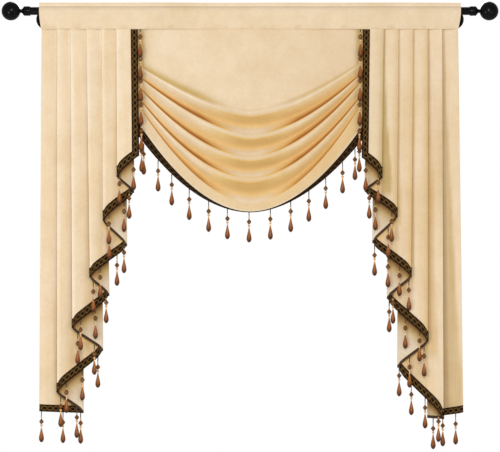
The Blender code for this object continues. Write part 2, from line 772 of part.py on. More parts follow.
def main():
    clear_scene()
    cloth = finish_material("cream_velvet", (0.84, 0.66, 0.42), 0.8, 0)
    woven = finish_material("brown_braid", (0.10, 0.07, 0.04), 0.8, 0)
    beads = finish_material("copper_beads", (0.45, 0.17, 0.05), 0.3, 0)
    black = finish_material("black_enamel", (0.01, 0.01, 0.01), 0.25, 0)
    make_rod(black)
    make_header(cloth)
    make_swag(cloth, woven, beads)
    for name, side, folds in (("left", -1, LEFT_FOLDS), ("right", 1, RIGHT_FOLDS)):
        make_finial(f"finial_{name}", side, black)
        make_bracket(f"bracket_{name}", side, black)
        make_cascade(f"cascade_{name}", folds, side, cloth)
        make_cascade_braid(f"braid_{name}", folds, side, woven)
        make_cascade_fringe(f"fringe_{name}", folds, side, beads)


main()
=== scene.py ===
"""Waterfall valance on its curtain rod, dressed for a studio picture.

A swag hangs between two pleated cascades. All three are sewn to one header band with a rod
pocket, and every hem carries woven braid and a fringe of bead strands.
"""

import math
from collections import namedtuple

import bmesh
import bpy
import numpy as np
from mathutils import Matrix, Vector


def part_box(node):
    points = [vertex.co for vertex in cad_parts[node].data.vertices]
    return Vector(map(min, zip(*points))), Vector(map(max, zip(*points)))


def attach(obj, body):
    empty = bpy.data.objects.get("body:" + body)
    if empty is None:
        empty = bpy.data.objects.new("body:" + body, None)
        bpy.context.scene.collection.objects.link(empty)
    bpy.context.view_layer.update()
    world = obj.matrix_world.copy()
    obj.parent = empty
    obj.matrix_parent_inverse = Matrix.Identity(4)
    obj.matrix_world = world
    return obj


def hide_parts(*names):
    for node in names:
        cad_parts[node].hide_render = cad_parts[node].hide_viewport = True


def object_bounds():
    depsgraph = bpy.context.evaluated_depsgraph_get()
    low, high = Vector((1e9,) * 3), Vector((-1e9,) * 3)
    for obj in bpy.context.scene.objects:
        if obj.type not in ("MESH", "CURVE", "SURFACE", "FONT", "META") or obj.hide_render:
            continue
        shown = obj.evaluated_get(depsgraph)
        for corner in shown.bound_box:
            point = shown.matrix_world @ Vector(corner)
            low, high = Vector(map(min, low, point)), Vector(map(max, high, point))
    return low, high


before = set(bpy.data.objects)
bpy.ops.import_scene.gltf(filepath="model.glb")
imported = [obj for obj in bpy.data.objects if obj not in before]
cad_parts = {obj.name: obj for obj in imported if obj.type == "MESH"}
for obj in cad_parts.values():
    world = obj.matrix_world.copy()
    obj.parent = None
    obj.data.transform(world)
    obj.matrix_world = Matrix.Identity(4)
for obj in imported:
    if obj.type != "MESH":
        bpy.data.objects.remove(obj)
cad_box = [[float(value) for value in corner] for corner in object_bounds()]


# Camera, light and floor
# The valance is seen square on through a long lens. A soft light above the camera gives the folds
# their shade, one on each side and one ahead fill it and pick out the gloss, one behind lights
# the back, and a pale floor lies well below.
MM = 0.001
rod_low, rod_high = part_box("rod")
ROD_RADIUS = (rod_high[2] - rod_low[2]) / 2
ROD_Y = (rod_high[1] + rod_low[1]) / 2
ROD_Z = (rod_high[2] + rod_low[2]) / 2
ROD_HALF_LENGTH = (rod_high[0] - rod_low[0]) / 2
CLOTH_PLANE = -98 * MM
PICTURE_WIDTH = 1.5714
PICTURE_CENTRE_DROP = 0.676
CAMERA_DISTANCE = 20.0
SENSOR = 36.0
MIDDLE = (0, CLOTH_PLANE, ROD_Z - PICTURE_CENTRE_DROP)
NEUTRAL = (1, 1, 1)
COOL = (0.93, 0.97, 1.0)
WARM = (1.0, 0.86, 0.66)
Light = namedtuple("Light", "name place width height watts aim colour")
LIGHTS = (
    Light("key", (0, -4.6, 1.3), 1.5, 0.9, 68, MIDDLE, NEUTRAL),
    Light("fill_left", (-1.9, -2.5, -0.95), 1.0, 1.3, 24, (-0.6, CLOTH_PLANE, -0.95), COOL),
    Light("fill_right", (1.9, -2.5, -0.75), 1.0, 1.3, 8, (0.6, CLOTH_PLANE, -0.8), WARM),
    Light("front", (0.15, -7.0, 0.1), 0.45, 0.45, 50, MIDDLE, NEUTRAL),
    Light("behind", (0, 4.2, 0.9), 1.6, 1.0, 70, MIDDLE, NEUTRAL),
)
ROOM_COLOUR = (1, 0.985, 0.96, 1)
ROOM_STRENGTH = 0.42
FLOOR_DROP = 0.4
FLOOR_HALF = (2.5, 1.6)
FLOOR_COLOUR = (0.8, 0.8, 0.79, 1)
FLOOR_ROUGHNESS = 0.7


def in_scene(name, data):
    """A new object in the scene, at the origin."""
    obj = bpy.data.objects.new(name, data)
    bpy.context.collection.objects.link(obj)
    return obj


camera = in_scene("camera", bpy.data.cameras.new("camera"))
camera.data.sensor_width = SENSOR
camera.data.lens = SENSOR * CAMERA_DISTANCE / PICTURE_WIDTH
camera.location = (0, CLOTH_PLANE - CAMERA_DISTANCE, ROD_Z - PICTURE_CENTRE_DROP)
camera.rotation_euler = (math.radians(90), 0, 0)
bpy.context.scene.camera = camera
bpy.context.scene.view_settings.view_transform = "Standard"

for light in LIGHTS:
    lamp = bpy.data.lights.new(light.name, "AREA")
    lamp.shape = "RECTANGLE"
    lamp.size, lamp.size_y = light.width, light.height
    lamp.energy = light.watts
    lamp.color = light.colour
    softbox = in_scene(light.name, lamp)
    softbox.location = light.place
    heading = Vector(light.aim) - Vector(light.place)
    softbox.rotation_euler = heading.to_track_quat("-Z", "Y").to_euler()
    softbox.visible_camera = False

world = bpy.data.worlds.new("studio")
bpy.context.scene.world = world
world.use_nodes = True
world_nodes, world_links = world.node_tree.nodes, world.node_tree.links
room_light = world_nodes["Background"]
room_light.inputs["Color"].default_value = ROOM_COLOUR
room_light.inputs["Strength"].default_value = ROOM_STRENGTH
backdrop = world_nodes.new("ShaderNodeBackground")
backdrop.inputs["Color"].default_value = (1, 1, 1, 1)
backdrop.inputs["Strength"].default_value = 1.0
ray = world_nodes.new("ShaderNodeLightPath")
either = world_nodes.new("ShaderNodeMixShader")
world_links.new(ray.outputs["Is Camera Ray"], either.inputs[0])
world_links.new(room_light.outputs[0], either.inputs[1])
world_links.new(backdrop.outputs[0], either.inputs[2])
world_links.new(either.outputs[0], world_nodes["World Output"].inputs["Surface"])

floor_z = cad_box[0][2] - FLOOR_DROP
corner_signs = ((-1, -1), (1, -1), (1, 1), (-1, 1))
floor_mesh = bpy.data.meshes.new("floor")
floor_mesh.from_pydata(
    [(x * FLOOR_HALF[0], y * FLOOR_HALF[1], floor_z) for x, y in corner_signs], [], [(0, 1, 2, 3)])
floor = in_scene("floor", floor_mesh)
floor_paint = bpy.data.materials.new("floor_paint")
floor_paint.use_nodes = True
floor_shader = floor_paint.node_tree.nodes["Principled BSDF"]
floor_shader.inputs["Base Color"].default_value = FLOOR_COLOUR
floor_shader.inputs["Roughness"].default_value = FLOOR_ROUGHNESS
floor_mesh.materials.append(floor_paint)


# Rod, finials and brackets
# A steel tube rod with a turned ball finial pushed into each end, on two cast brackets with
# round wall plates. All of it is stoved with gloss black enamel, slightly orange-peeled.
BLACK = (0.0025, 0.0025, 0.0028)
RUBBED_BLACK = (0.006, 0.0055, 0.0055)
GAP = 0.3 * MM
TURNED_SIDES = 64
BALL_RADIUS = 29.7 * MM
BALL_CENTRE = 61 * MM
BALL_STEPS = 24
NECK_RADIUS = 6 * MM
COLLAR = (
    (0, 0), (0, 15.2), (2.4, 15.4), (3.2, 14.6), (4.0, 15.0), (19.0, 15.0), (23.5, 10.5),
    (25.2, 7.2), (27.2, 6.0), (30.0, 6.0),
)


def new_material(name):
    material = bpy.data.materials.new(name)
    material.use_nodes = True
    return material, material.node_tree.nodes, material.node_tree.links


def object_noise(nodes, links, scale, detail, roughness=0.55, stretch=None):
    """A noise in the object's own coordinates, so it stays put on the piece."""
    where = nodes.new("ShaderNodeTexCoord").outputs["Object"]
    if stretch:
        mapping = nodes.new("ShaderNodeMapping")
        mapping.inputs["Scale"].default_value = stretch
        links.new(where, mapping.inputs["Vector"])
        where = mapping.outputs[0]
    noise = nodes.new("ShaderNodeTexNoise")
    noise.inputs["Scale"].default_value = scale
    noise.inputs["Detail"].default_value = detail
    noise.inputs["Roughness"].default_value = roughness
    links.new(where, noise.inputs["Vector"])
    return noise.outputs["Fac"]


def raise_surface(nodes, links, height, distance, strength):
    bump = nodes.new("ShaderNodeBump")
    bump.inputs["Distance"].default_value = distance
    bump.inputs["Strength"].default_value = strength
    links.new(height, bump.inputs["Height"])
    links.new(bump.outputs["Normal"], nodes["Principled BSDF"].inputs["Normal"])


def ramp(nodes, links, value, stops):
    """Colours along a value; stops are (position, colour), and a bare number is a grey."""
    node = nodes.new("ShaderNodeValToRGB")
    elements = node.color_ramp.elements
    while len(elements) < len(stops):
        elements.new(0.5)
    for element, (position, colour) in zip(elements, stops):
        element.position = position
        element.color = (*(colour if isinstance(colour, tuple) else (colour,) * 3), 1)
    links.new(value, node.inputs["Fac"])
    return node.outputs["Color"]


enamel, nodes, links = new_material("black_enamel")
shader = nodes["Principled BSDF"]
shader.inputs["Specular IOR Level"].default_value = 0.1
shader.inputs["Coat Weight"].default_value = 0.02
shader.inputs["Coat Roughness"].default_value = 0.12
tint = object_noise(nodes, links, scale=35, detail=3)
links.new(ramp(nodes, links, tint, [(0.3, BLACK), (0.75, RUBBED_BLACK)]), shader.inputs["Base Color"])
links.new(ramp(nodes, links, tint, [(0.3, 0.14), (0.8, 0.22)]), shader.inputs["Roughness"])
orange_peel = object_noise(nodes, links, scale=420, detail=2)
raise_surface(nodes, links, orange_peel, distance=0.2 * MM, strength=0.12)


def faces_outward(mesh, merge=False):
    """Turns the faces of a closed mesh outwards, once its doubles are merged if asked."""
    shape = bmesh.new()
    shape.from_mesh(mesh)
    if merge:
        bmesh.ops.remove_doubles(shape, verts=shape.verts, dist=1e-6)
    bmesh.ops.recalc_face_normals(shape, faces=shape.faces)
    shape.to_mesh(mesh)
    shape.free()


def smooth_shade(mesh, sharpest):
    """Shades a mesh smooth, but for edges that turn more than this many degrees."""
    mesh.shade_smooth()
    mesh.set_sharp_from_angle(angle=math.radians(sharpest))


def piece(name, verts, faces, materials, smooth=None):
    """An object at the origin with its place in its mesh and its faces turned outwards."""
    mesh = bpy.data.meshes.new(name)
    mesh.from_pydata([tuple(map(float, vert)) for vert in verts], [], faces)
    faces_outward(mesh, merge=True)
    for material in materials:
        mesh.materials.append(material)
    if smooth is not None:
        smooth_shade(mesh, smooth)
    return in_scene(name, mesh)


def turned(profile, sides):
    """Vertices and faces of a shape turned about X from (x, radius) pairs."""
    verts = [(profile[0][0], 0, 0)]
    for x, radius in profile[1:-1]:
        for i in range(sides):
            angle = 2 * math.pi * i / sides
            verts.append((x, radius * math.cos(angle), radius * math.sin(angle)))
    verts.append((profile[-1][0], 0, 0))
    last = len(verts) - 1
    faces = []
    for i in range(sides):
        j = (i + 1) % sides
        faces.append((0, 1 + i, 1 + j))
        faces.append((last, last - sides + j, last - sides + i))
        for ring in range(len(profile) - 3):
            low = 1 + ring * sides
            faces.append((low + i, low + sides + i, low + sides + j, low + j))
    return verts, faces


def rounded(profile, radius, steps=3):
    """The profile with each inner corner rounded to about this radius."""
    points = [np.array(point, float) for point in profile]
    result = [points[0]]
    for before, corner, after in zip(points, points[1:], points[2:]):
        to_before, to_after = before - corner, after - corner
        reach = min(radius, np.linalg.norm(to_before) / 2.2, np.linalg.norm(to_after) / 2.2)
        start = corner + to_before / np.linalg.norm(to_before) * reach
        end = corner + to_after / np.linalg.norm(to_after) * reach
        for i in range(steps + 1):
            t = i / steps
            result.append((1 - t) ** 2 * start + 2 * t * (1 - t) * corner + t * t * end)
    result.append(points[-1])
    return [tuple(point) for point in result]


def from_mm(points):
    return [tuple(value * MM for value in point) for point in points]


def on_rod(verts):
    return [(x, y + ROD_Y, z + ROD_Z) for x, y, z in verts]


tube = [(-ROD_HALF_LENGTH, 0), (-ROD_HALF_LENGTH, ROD_RADIUS)]
tube += [(ROD_HALF_LENGTH, ROD_RADIUS), (ROD_HALF_LENGTH, 0)]
rod_verts, rod_faces = turned(rounded(tube, 0.8 * MM), TURNED_SIDES)
rod = piece("curtain_rod", on_rod(rod_verts), rod_faces, [enamel], 40)
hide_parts("rod")
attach(rod, "root")

for name, side in (("left", -1), ("right", 1)):
    start = ROD_HALF_LENGTH + GAP
    profile = rounded(from_mm(COLLAR), 0.5 * MM)
    neck_angle = math.asin(NECK_RADIUS / BALL_RADIUS)
    for i in range(BALL_STEPS + 1):
        angle = neck_angle + (math.pi - neck_angle) * i / BALL_STEPS
        profile.append((BALL_CENTRE - BALL_RADIUS * math.cos(angle), BALL_RADIUS * math.sin(angle)))
    profile[-1] = (profile[-1][0], 0)
    verts, faces = turned([(side * (start + x), radius) for x, radius in profile], TURNED_SIDES)
    finial = piece(f"ball_finial_{name}", on_rod(verts), faces, [enamel], 35)
    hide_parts(f"finial_{name}")
    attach(finial, "root")

PLATE_PROFILE = ((0, 0), (0, 32), (2.4, 32), (3.6, 29), (3.0, 27), (3.9, 12), (3.9, 0))
SCREW_PROFILE = ((2.6, 0), (2.6, 3.6), (4.4, 2.88), (5.0, 1.26), (4.5, 0))
SCREW_FROM_CENTRE = 20 * MM
SCREW_SIDES = 20
ARM_HALF_WIDTH = 7
ARM_EDGE = 1.2
ARM_RINGS = ((-2, -6, 6), (-42.5, -6, 6.5), (-68, -5.5, 8.6), (-88, -4, 9.3), (-91.6, 1, 8.5))
CUP_ANGLES = (210, 360)
CUP_STEPS = 18
CUP_WALL = 2.5 * MM
CUP_HALF_WIDTH = 5 * MM
CUP_GAP = 0.5 * MM


def joined(*shapes):
    verts, faces = [], []
    for more_verts, more_faces in shapes:
        start = len(verts)
        verts += list(more_verts)
        faces += [tuple(start + i for i in face) for face in more_faces]
    return verts, faces


def ribbed_bar(rings):
    """A closed bar through rings of equal count."""
    count = len(rings[0])
    verts = [vert for ring in rings for vert in ring]
    faces = [tuple(range(count)), tuple(range(len(verts) - count, len(verts)))]
    for ring in range(len(rings) - 1):
        low = ring * count
        for i in range(count):
            j = (i + 1) % count
            faces.append((low + i, low + j, low + count + j, low + count + i))
    return verts, faces


def bracket_arm(centre):
    """The arm's rings, from the wall to its tip; each row of ARM_RINGS is (y, bottom, top)."""
    rings = []
    for y, low, high in ARM_RINGS:
        corners = [(ARM_HALF_WIDTH - ARM_EDGE, low), (ARM_HALF_WIDTH, low + ARM_EDGE),
                   (ARM_HALF_WIDTH, high - ARM_EDGE), (ARM_HALF_WIDTH - ARM_EDGE, high)]
        corners += [(-x, z) for x, z in corners[::-1]]
        rings.append([(centre + x * MM, y * MM, z * MM) for x, z in corners])
    return ribbed_bar(rings)


def bracket_cup(centre):
    """The cup under the rod, bent from a strip."""
    rings = []
    for i in range(CUP_STEPS + 1):
        angle = math.radians(CUP_ANGLES[0] + (CUP_ANGLES[1] - CUP_ANGLES[0]) * i / CUP_STEPS)
        ring = []
        for side, wall in ((-1, 0), (1, 0), (1, CUP_WALL), (-1, CUP_WALL)):
            reach = ROD_RADIUS + CUP_GAP + wall
            y, z = ROD_Y + reach * math.cos(angle), ROD_Z + reach * math.sin(angle)
            ring.append((centre + side * CUP_HALF_WIDTH, y, z))
        rings.append(ring)
    return ribbed_bar(rings)


def bracket_shape(centre):
    """Plate with a raised rim and two screws, a tapering arm, and the cup under the rod."""
    verts, faces = turned(rounded(from_mm(PLATE_PROFILE), 0.6 * MM), TURNED_SIDES)
    shapes = [([(centre + y, -x, z) for x, y, z in verts], faces)]
    for offset in (-SCREW_FROM_CENTRE, SCREW_FROM_CENTRE):
        verts, faces = turned(rounded(from_mm(SCREW_PROFILE), 0.4 * MM), SCREW_SIDES)
        shapes.append(([(centre + y, -x, z + offset) for x, y, z in verts], faces))
    return joined(*shapes, bracket_arm(centre), bracket_cup(centre))


for name in ("left", "right"):
    low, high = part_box(f"bracket_{name}")
    bracket = piece(f"wall_bracket_{name}", *bracket_shape((low[0] + high[0]) / 2), [enamel], 35)
    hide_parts(f"bracket_{name}")
    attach(bracket, "root")


# Header band
# One strip of cream velvet folded over the rod: a short frill stands above it, a row of
# stitches closes the pocket, and the lower seam carries the swag and both cascades.
BAND_HALF_WIDTH = 660 * MM
BAND_BACK_SHORTER = 38 * MM
BAND_OUTER = (
    (-99.9, -57.5), (-100.5, -56.9), (-101.8, -49), (-101.8, -5), (-100.4, 3.8), (-96, 11),
    (-90, 14.6), (-86.7, 15.4), (-86.7, 26.4), (-83.3, 26.4), (-83.3, 15.4), (-80, 14.6),
    (-74.6, 10.6), (-70.6, 3.8), (-69.7, -6), (-72, -20), (-85, -37), (-98.8, -46.5),
    (-98.8, -57.5),
)
BAND_POCKET = (
    (-100.3, -43.5), (-100.3, -5), (-98.9, 3.2), (-95, 9.8), (-89.5, 12.8), (-80.5, 12.8),
    (-75.7, 9.5), (-72.1, 3.2), (-71.2, -6), (-73.4, -19.2), (-86, -35.5),
)
ARM_ROOM = ((-98.8, -90), (-98.8, -6), (-82, -6), (-82, 40), (-55, 40), (-55, -90))
ARM_ROOM_HALF = 30 * MM
CUT_PAST_END = 10 * MM
BAND_COLUMNS = 360
BAND_SPACING = 3.5 * MM
FRILL_BOTTOM = 15.4 * MM
SEAM_DROP = 57.5 * MM
POCKET_HALF_WIDTH = 663 * MM
SEAM_HALF_WIDTHS = (656.5 * MM, 654.5 * MM)
BAND_TAPER = 1.6
BAND_END_POWER = 12
POCKET_FRONT = ROD_Y - 4 * MM
FLAP_FRONT = -99 * MM
PUCKER = 0.45 * MM
FRILL_PUCKER = 0.8
SEAM_PUCKER_REACH = 9 * MM
FRILL_PUCKER_REACH = 7 * MM
FRILL_LIFT = 0.6 * MM
SEAM_WAVES = (260, 410, 730)
FRILL_WAVES = (190, 330, 610)
FRILL_TOP_WAVES = (9, 17)
# A thin painted shade over the whole band, and painted light along the stitched row under the frill.
BAND_BASE_SHADE = 0.035
SEAM_LIGHT = 0.13
SEAM_LIGHT_REACH = 2.5 * MM
# Khaki flecks in a narrow band just above the seam, and broad olive patches all over the band.
FLECK_WAVES = (47, 81, 173)
FLECK_KHAKI = 0.3
FLECK_HEIGHT = 7 * MM
FLECK_REACH = 6 * MM
DULL_WAVES = (11, 19)
DULL_KHAKI = 0.12
STITCH_PITCH = 4.2 * MM
STITCH_LENGTH = 2.9 * MM
STITCH_RADIUS = 0.32 * MM

# Tones by the "shade" field: the first is painted light, the second the velvet's own colour, and the
# rest painted shade in gold and rust for the warm shade deep in folds. KHAKI is the colour of painted
# shadow, and of the band's flecks and olive patches.
TONE_DEPTHS = (0.0, 0.1, 0.25, 0.45, 0.72, 1.0)
RIGHT_TONES = (
    (0.97, 0.85, 0.68), (0.868, 0.705, 0.505), (0.79, 0.615, 0.405), (0.79, 0.54, 0.235),
    (0.68, 0.36, 0.10), (0.36, 0.125, 0.025),
)
WRONG_TONES = (
    (0.93, 0.86, 0.78), (0.88, 0.78, 0.65), (0.73, 0.59, 0.42), (0.58, 0.43, 0.21),
    (0.40, 0.25, 0.09), (0.24, 0.12, 0.045),
)
PALEST_SHADE = -0.1
KHAKI = (0.54, 0.39, 0.145)
CRUSHED = (0.945, 0.915, 0.86)
FLECKED = (0.95, 0.94, 0.925)
# Faint vertical streaks of painted shade on the pleated velvet, for the small ripples down each pleat.
STREAK_SHADE_TINTS = ((0.36, (0.97, 0.93, 0.84)), (0.52, (0.99, 0.98, 0.96)), (0.66, (1.0, 0.99, 1.0)))


def maths(nodes, links, operation, *values):
    """One step of arithmetic on numbers and sockets."""
    node = nodes.new("ShaderNodeMath")
    node.operation = operation
    for socket, value in zip(node.inputs, values):
        if isinstance(value, (int, float)):
            socket.default_value = value
        else:
            links.new(value, socket)
    return node.outputs[0]


def blend_colours(nodes, links, share, first, second, how="MIX"):
    """The second colour over the first, or multiplied with it, to the given share."""
    mix = nodes.new("ShaderNodeMix")
    mix.data_type = "RGBA"
    mix.blend_type = how
    sockets = mix.inputs["Factor"], mix.inputs[6], mix.inputs[7]
    for socket, value in zip(sockets, (share, first, second)):
        if isinstance(value, float):
            socket.default_value = value
        elif isinstance(value, tuple):
            socket.default_value = (*value, 1)
        else:
            links.new(value, socket)
    return mix.outputs[2]


def field(nodes, name):
    """A number that the mesh keeps for each of its points."""
    node = nodes.new("ShaderNodeAttribute")
    node.attribute_name = name
    return node.outputs["Fac"]


def add_field(mesh, name, values):
    mesh.attributes.new(name, "FLOAT", "POINT").data.foreach_set("value", values)


def velvet(name, tones, sheen, streaked=False):
    """Short cut pile: a soft sheen, crushed patches, and painted shade that deepens where "shade" or
    "khaki" is high.

    A shade below 0 gives the palest tone, painted light.
    """
    material, nodes, links = new_material(name)
    shader = nodes["Principled BSDF"]
    shader.inputs["Sheen Weight"].default_value = sheen
    shader.inputs["Sheen Roughness"].default_value = 0.45
    shader.inputs["Sheen Tint"].default_value = (1.0, 0.95, 0.86, 1)
    shader.inputs["Specular IOR Level"].default_value = 0.18
    depth = maths(nodes, links, "ADD", field(nodes, "shade"), -PALEST_SHADE)
    colour = ramp(nodes, links, depth, list(zip(TONE_DEPTHS, tones)))
    colour = blend_colours(nodes, links, field(nodes, "khaki"), colour, KHAKI)
    patches = object_noise(nodes, links, scale=14, detail=4, roughness=0.6)
    fine = object_noise(nodes, links, scale=95, detail=3, roughness=0.6)
    tints = [ramp(nodes, links, patches, [(0.32, CRUSHED), (0.62, 1.0)]),
             ramp(nodes, links, fine, [(0.3, FLECKED), (0.7, 1.0)])]
    if streaked:
        # Painted shade in vertical streaks, for the ripples down the pleats.
        streak = object_noise(nodes, links, scale=42, detail=3, roughness=0.5, stretch=(1.0, 0.0, 0.07))
        tints.append(ramp(nodes, links, streak, STREAK_SHADE_TINTS))
    for tint in tints:
        colour = blend_colours(nodes, links, 1.0, colour, tint, "MULTIPLY")
    links.new(colour, shader.inputs["Base Color"])
    links.new(ramp(nodes, links, patches, [(0.3, 0.74), (0.7, 0.9)]), shader.inputs["Roughness"])
    pile = maths(nodes, links, "ADD", object_noise(nodes, links, scale=900, detail=2), patches)
    raise_surface(nodes, links, pile, distance=0.6 * MM, strength=0.35)
    return material


right_side = velvet("cream_velvet", RIGHT_TONES, 0.28)
pleated_side = velvet("pleated_velvet", RIGHT_TONES, 0.42, streaked=True)
wrong_side = velvet("velvet_wrong_side", WRONG_TONES, 0.05)


def waves(x, z, scales, seed):
    """A smooth uneven height from -1 to 1, made of a few slanting waves."""
    total = 0.0
    for i, scale in enumerate(scales):
        slant = math.sin(seed * 7.3 + i * 2.1)
        total += math.sin(x * scale + z * scale * 0.6 * slant + seed * 3.7 + i * 1.9)
    return total / len(scales)


def part_way(value, start, span):
    """How far a value has come from the start over the span, from 0 to 1."""
    return min(max((value - start) / span, 0), 1)


def fading(distance, reach, power=1):
    """1 at no distance, and falling away over the reach."""
    return math.exp(-((distance / reach) ** power))


def along_outline(outline, spacing):
    """Points along a closed outline, no further apart than the spacing."""
    points = []
    for start, end in zip(outline, outline[1:] + outline[:1]):
        steps = max(1, math.ceil(math.dist(start, end) / spacing))
        for i in range(steps):
            share = i / steps
            points.append(tuple(a + (b - a) * share for a, b in zip(start, end)))
    return points


def band_point(x, y, z):
    """A point of the band, drawn in a little where it is stitched and gathered."""
    at_seam = fading(z - ROD_Z + SEAM_DROP, SEAM_PUCKER_REACH, 2)
    at_frill = fading(z - ROD_Z - FRILL_BOTTOM, FRILL_PUCKER_REACH, 2)
    pucker = at_seam * waves(x, z, SEAM_WAVES, seed=1)
    pucker += FRILL_PUCKER * at_frill * waves(x, z, FRILL_WAVES, seed=2)
    outward = 1 if y < POCKET_FRONT else -1
    lift = FRILL_LIFT * waves(x, z, FRILL_TOP_WAVES, seed=3) if z > ROD_Z + FRILL_BOTTOM + MM else 0
    down = part_way(ROD_Z - z, 0, SEAM_DROP)
    seam_half = SEAM_HALF_WIDTHS[0 if x < 0 else 1]
    half = POCKET_HALF_WIDTH + (seam_half - POCKET_HALF_WIDTH) * down**BAND_TAPER
    x *= 1 + (half / BAND_HALF_WIDTH - 1) * min(abs(x) / BAND_HALF_WIDTH, 1) ** BAND_END_POWER
    return x, y - outward * PUCKER * pucker * (1 if y < FLAP_FRONT else 0.5), z + lift


def section_solid(outline, half, columns):
    """A closed solid with one outline, given as (y, z) in millimetres, along the band."""
    outline = along_outline([(y * MM, z * MM + ROD_Z) for y, z in outline], BAND_SPACING)
    verts, faces = [], []
    count = len(outline)
    for column in range(columns + 1):
        x = half * (2 * column / columns - 1)
        verts += [(x, y, z) for y, z in outline]
    faces = [tuple(range(count)), tuple(range(len(verts) - count, len(verts)))]
    for column in range(columns):
        low = column * count
        for i in range(count):
            j = (i + 1) % count
            faces.append((low + i, low + j, low + count + j, low + count + i))
    return verts, faces


def plain_mesh(obj):
    """Turns what the object's modifiers make into its mesh, and removes them."""
    graph = bpy.context.evaluated_depsgraph_get()
    made = bpy.data.meshes.new_from_object(obj.evaluated_get(graph))
    obj.modifiers.clear()
    obj.data = made
    return obj


def cut_away(obj, verts, faces):
    cutter = piece("cutter", verts, faces, [])
    modifier = obj.modifiers.new("cut", "BOOLEAN")
    modifier.operation = "DIFFERENCE"
    modifier.solver = "EXACT"
    modifier.object = cutter
    plain_mesh(obj)
    bpy.data.objects.remove(cutter)


band_shape = section_solid(BAND_OUTER, BAND_HALF_WIDTH, BAND_COLUMNS)
band = piece("header_band_cloth", *band_shape, [right_side])
cut_away(band, *section_solid(BAND_POCKET, BAND_HALF_WIDTH + CUT_PAST_END, BAND_COLUMNS))
for side in (-1, 1):
    room_middle = side * (BAND_HALF_WIDTH - BAND_BACK_SHORTER + ARM_ROOM_HALF)
    room, room_faces = section_solid(ARM_ROOM, ARM_ROOM_HALF, 1)
    cut_away(band, [(room_middle + x, y, z) for x, y, z in room], room_faces)
for vertex in band.data.vertices:
    vertex.co = band_point(*vertex.co)
flecks, tones = [], []
for vertex in band.data.vertices:
    x, _, z = vertex.co
    above_row = z - ROD_Z - FRILL_BOTTOM - MM
    # Painted shade over the band, and painted light along the stitched row under the frill.
    tones.append(BAND_BASE_SHADE - SEAM_LIGHT * fading(above_row, SEAM_LIGHT_REACH, 2))
    # Khaki flecks just above the seam, over broad olive patches.
    patchy = max(waves(x, z, FLECK_WAVES, seed=7), 0)
    patchy *= fading(z - ROD_Z + SEAM_DROP - FLECK_HEIGHT, FLECK_REACH, 2)
    flecks.append(FLECK_KHAKI * patchy + DULL_KHAKI * max(waves(x, z, DULL_WAVES, seed=8), 0))
add_field(band.data, "khaki", flecks)
add_field(band.data, "shade", tones)
smooth_shade(band.data, 50)
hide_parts("header_band")
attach(band, "root")

thread, nodes, links = new_material("cream_thread")
nodes["Principled BSDF"].inputs["Roughness"].default_value = 0.55
twist = object_noise(nodes, links, scale=700, detail=2)
links.new(ramp(nodes, links, twist, [(0.3, (0.62, 0.47, 0.29)), (0.7, (0.85, 0.7, 0.48))]),
          nodes["Principled BSDF"].inputs["Base Color"])


def new_tree(name, inputs):
    """A tree with a geometry input and output and other named inputs, and what it is built with."""
    tree = bpy.data.node_groups.new(name, "GeometryNodeTree")
    for label, kind in (("Geometry", "Geometry"), *inputs):
        tree.interface.new_socket(label, in_out="INPUT", socket_type=f"NodeSocket{kind}")
    tree.interface.new_socket("Geometry", in_out="OUTPUT", socket_type="NodeSocketGeometry")
    given, made = tree.nodes.new("NodeGroupInput"), tree.nodes.new("NodeGroupOutput")
    return tree, tree.nodes, tree.links, given, made


def set_inputs(modifier, tree, values):
    """Sets a Geometry Nodes modifier's inputs by their sockets' identifiers."""
    for item in tree.interface.items_tree:
        if item.item_type == "SOCKET" and item.in_out == "INPUT" and item.name in values:
            modifier[item.identifier] = values[item.name]


def made_real(nodes, links, instances, finish):
    """The instances turned into a mesh with its finish on."""
    realize = nodes.new("GeometryNodeRealizeInstances")
    dress = nodes.new("GeometryNodeSetMaterial")
    links.new(instances, realize.inputs[0])
    links.new(realize.outputs[0], dress.inputs["Geometry"])
    links.new(finish, dress.inputs["Material"])
    return dress.outputs[0]


def stitch_tree():
    """Stitches laid along a line of the mesh's edges, one for each pitch."""
    inputs = (("Pitch", "Float"), ("Length", "Float"), ("Radius", "Float"), ("Thread", "Material"))
    tree, nodes, links, given, made = new_tree("stitch_row", inputs)
    curve = nodes.new("GeometryNodeMeshToCurve")
    resample = nodes.new("GeometryNodeResampleCurve")
    resample.mode = "LENGTH"
    to_points = nodes.new("GeometryNodeCurveToPoints")
    to_points.mode = "EVALUATED"
    stitch = nodes.new("GeometryNodeMeshUVSphere")
    stitch.inputs["Segments"].default_value = 6
    stitch.inputs["Rings"].default_value = 5
    stitch.inputs["Radius"].default_value = 1.0
    size = nodes.new("ShaderNodeCombineXYZ")
    place = nodes.new("GeometryNodeInstanceOnPoints")
    links.new(given.outputs["Geometry"], curve.inputs[0])
    links.new(curve.outputs[0], resample.inputs["Curve"])
    links.new(given.outputs["Pitch"], resample.inputs["Length"])
    links.new(resample.outputs[0], to_points.inputs[0])
    links.new(to_points.outputs["Points"], place.inputs["Points"])
    links.new(to_points.outputs["Rotation"], place.inputs["Rotation"])
    links.new(stitch.outputs["Mesh"], place.inputs["Instance"])
    links.new(given.outputs["Radius"], size.inputs["X"])
    links.new(given.outputs["Radius"], size.inputs["Y"])
    links.new(maths(nodes, links, "MULTIPLY", given.outputs["Length"], 0.5), size.inputs["Z"])
    links.new(size.outputs[0], place.inputs["Scale"])
    links.new(made_real(nodes, links, place.outputs[0], given.outputs["Thread"]), made.inputs[0])
    return tree


stitches = stitch_tree()


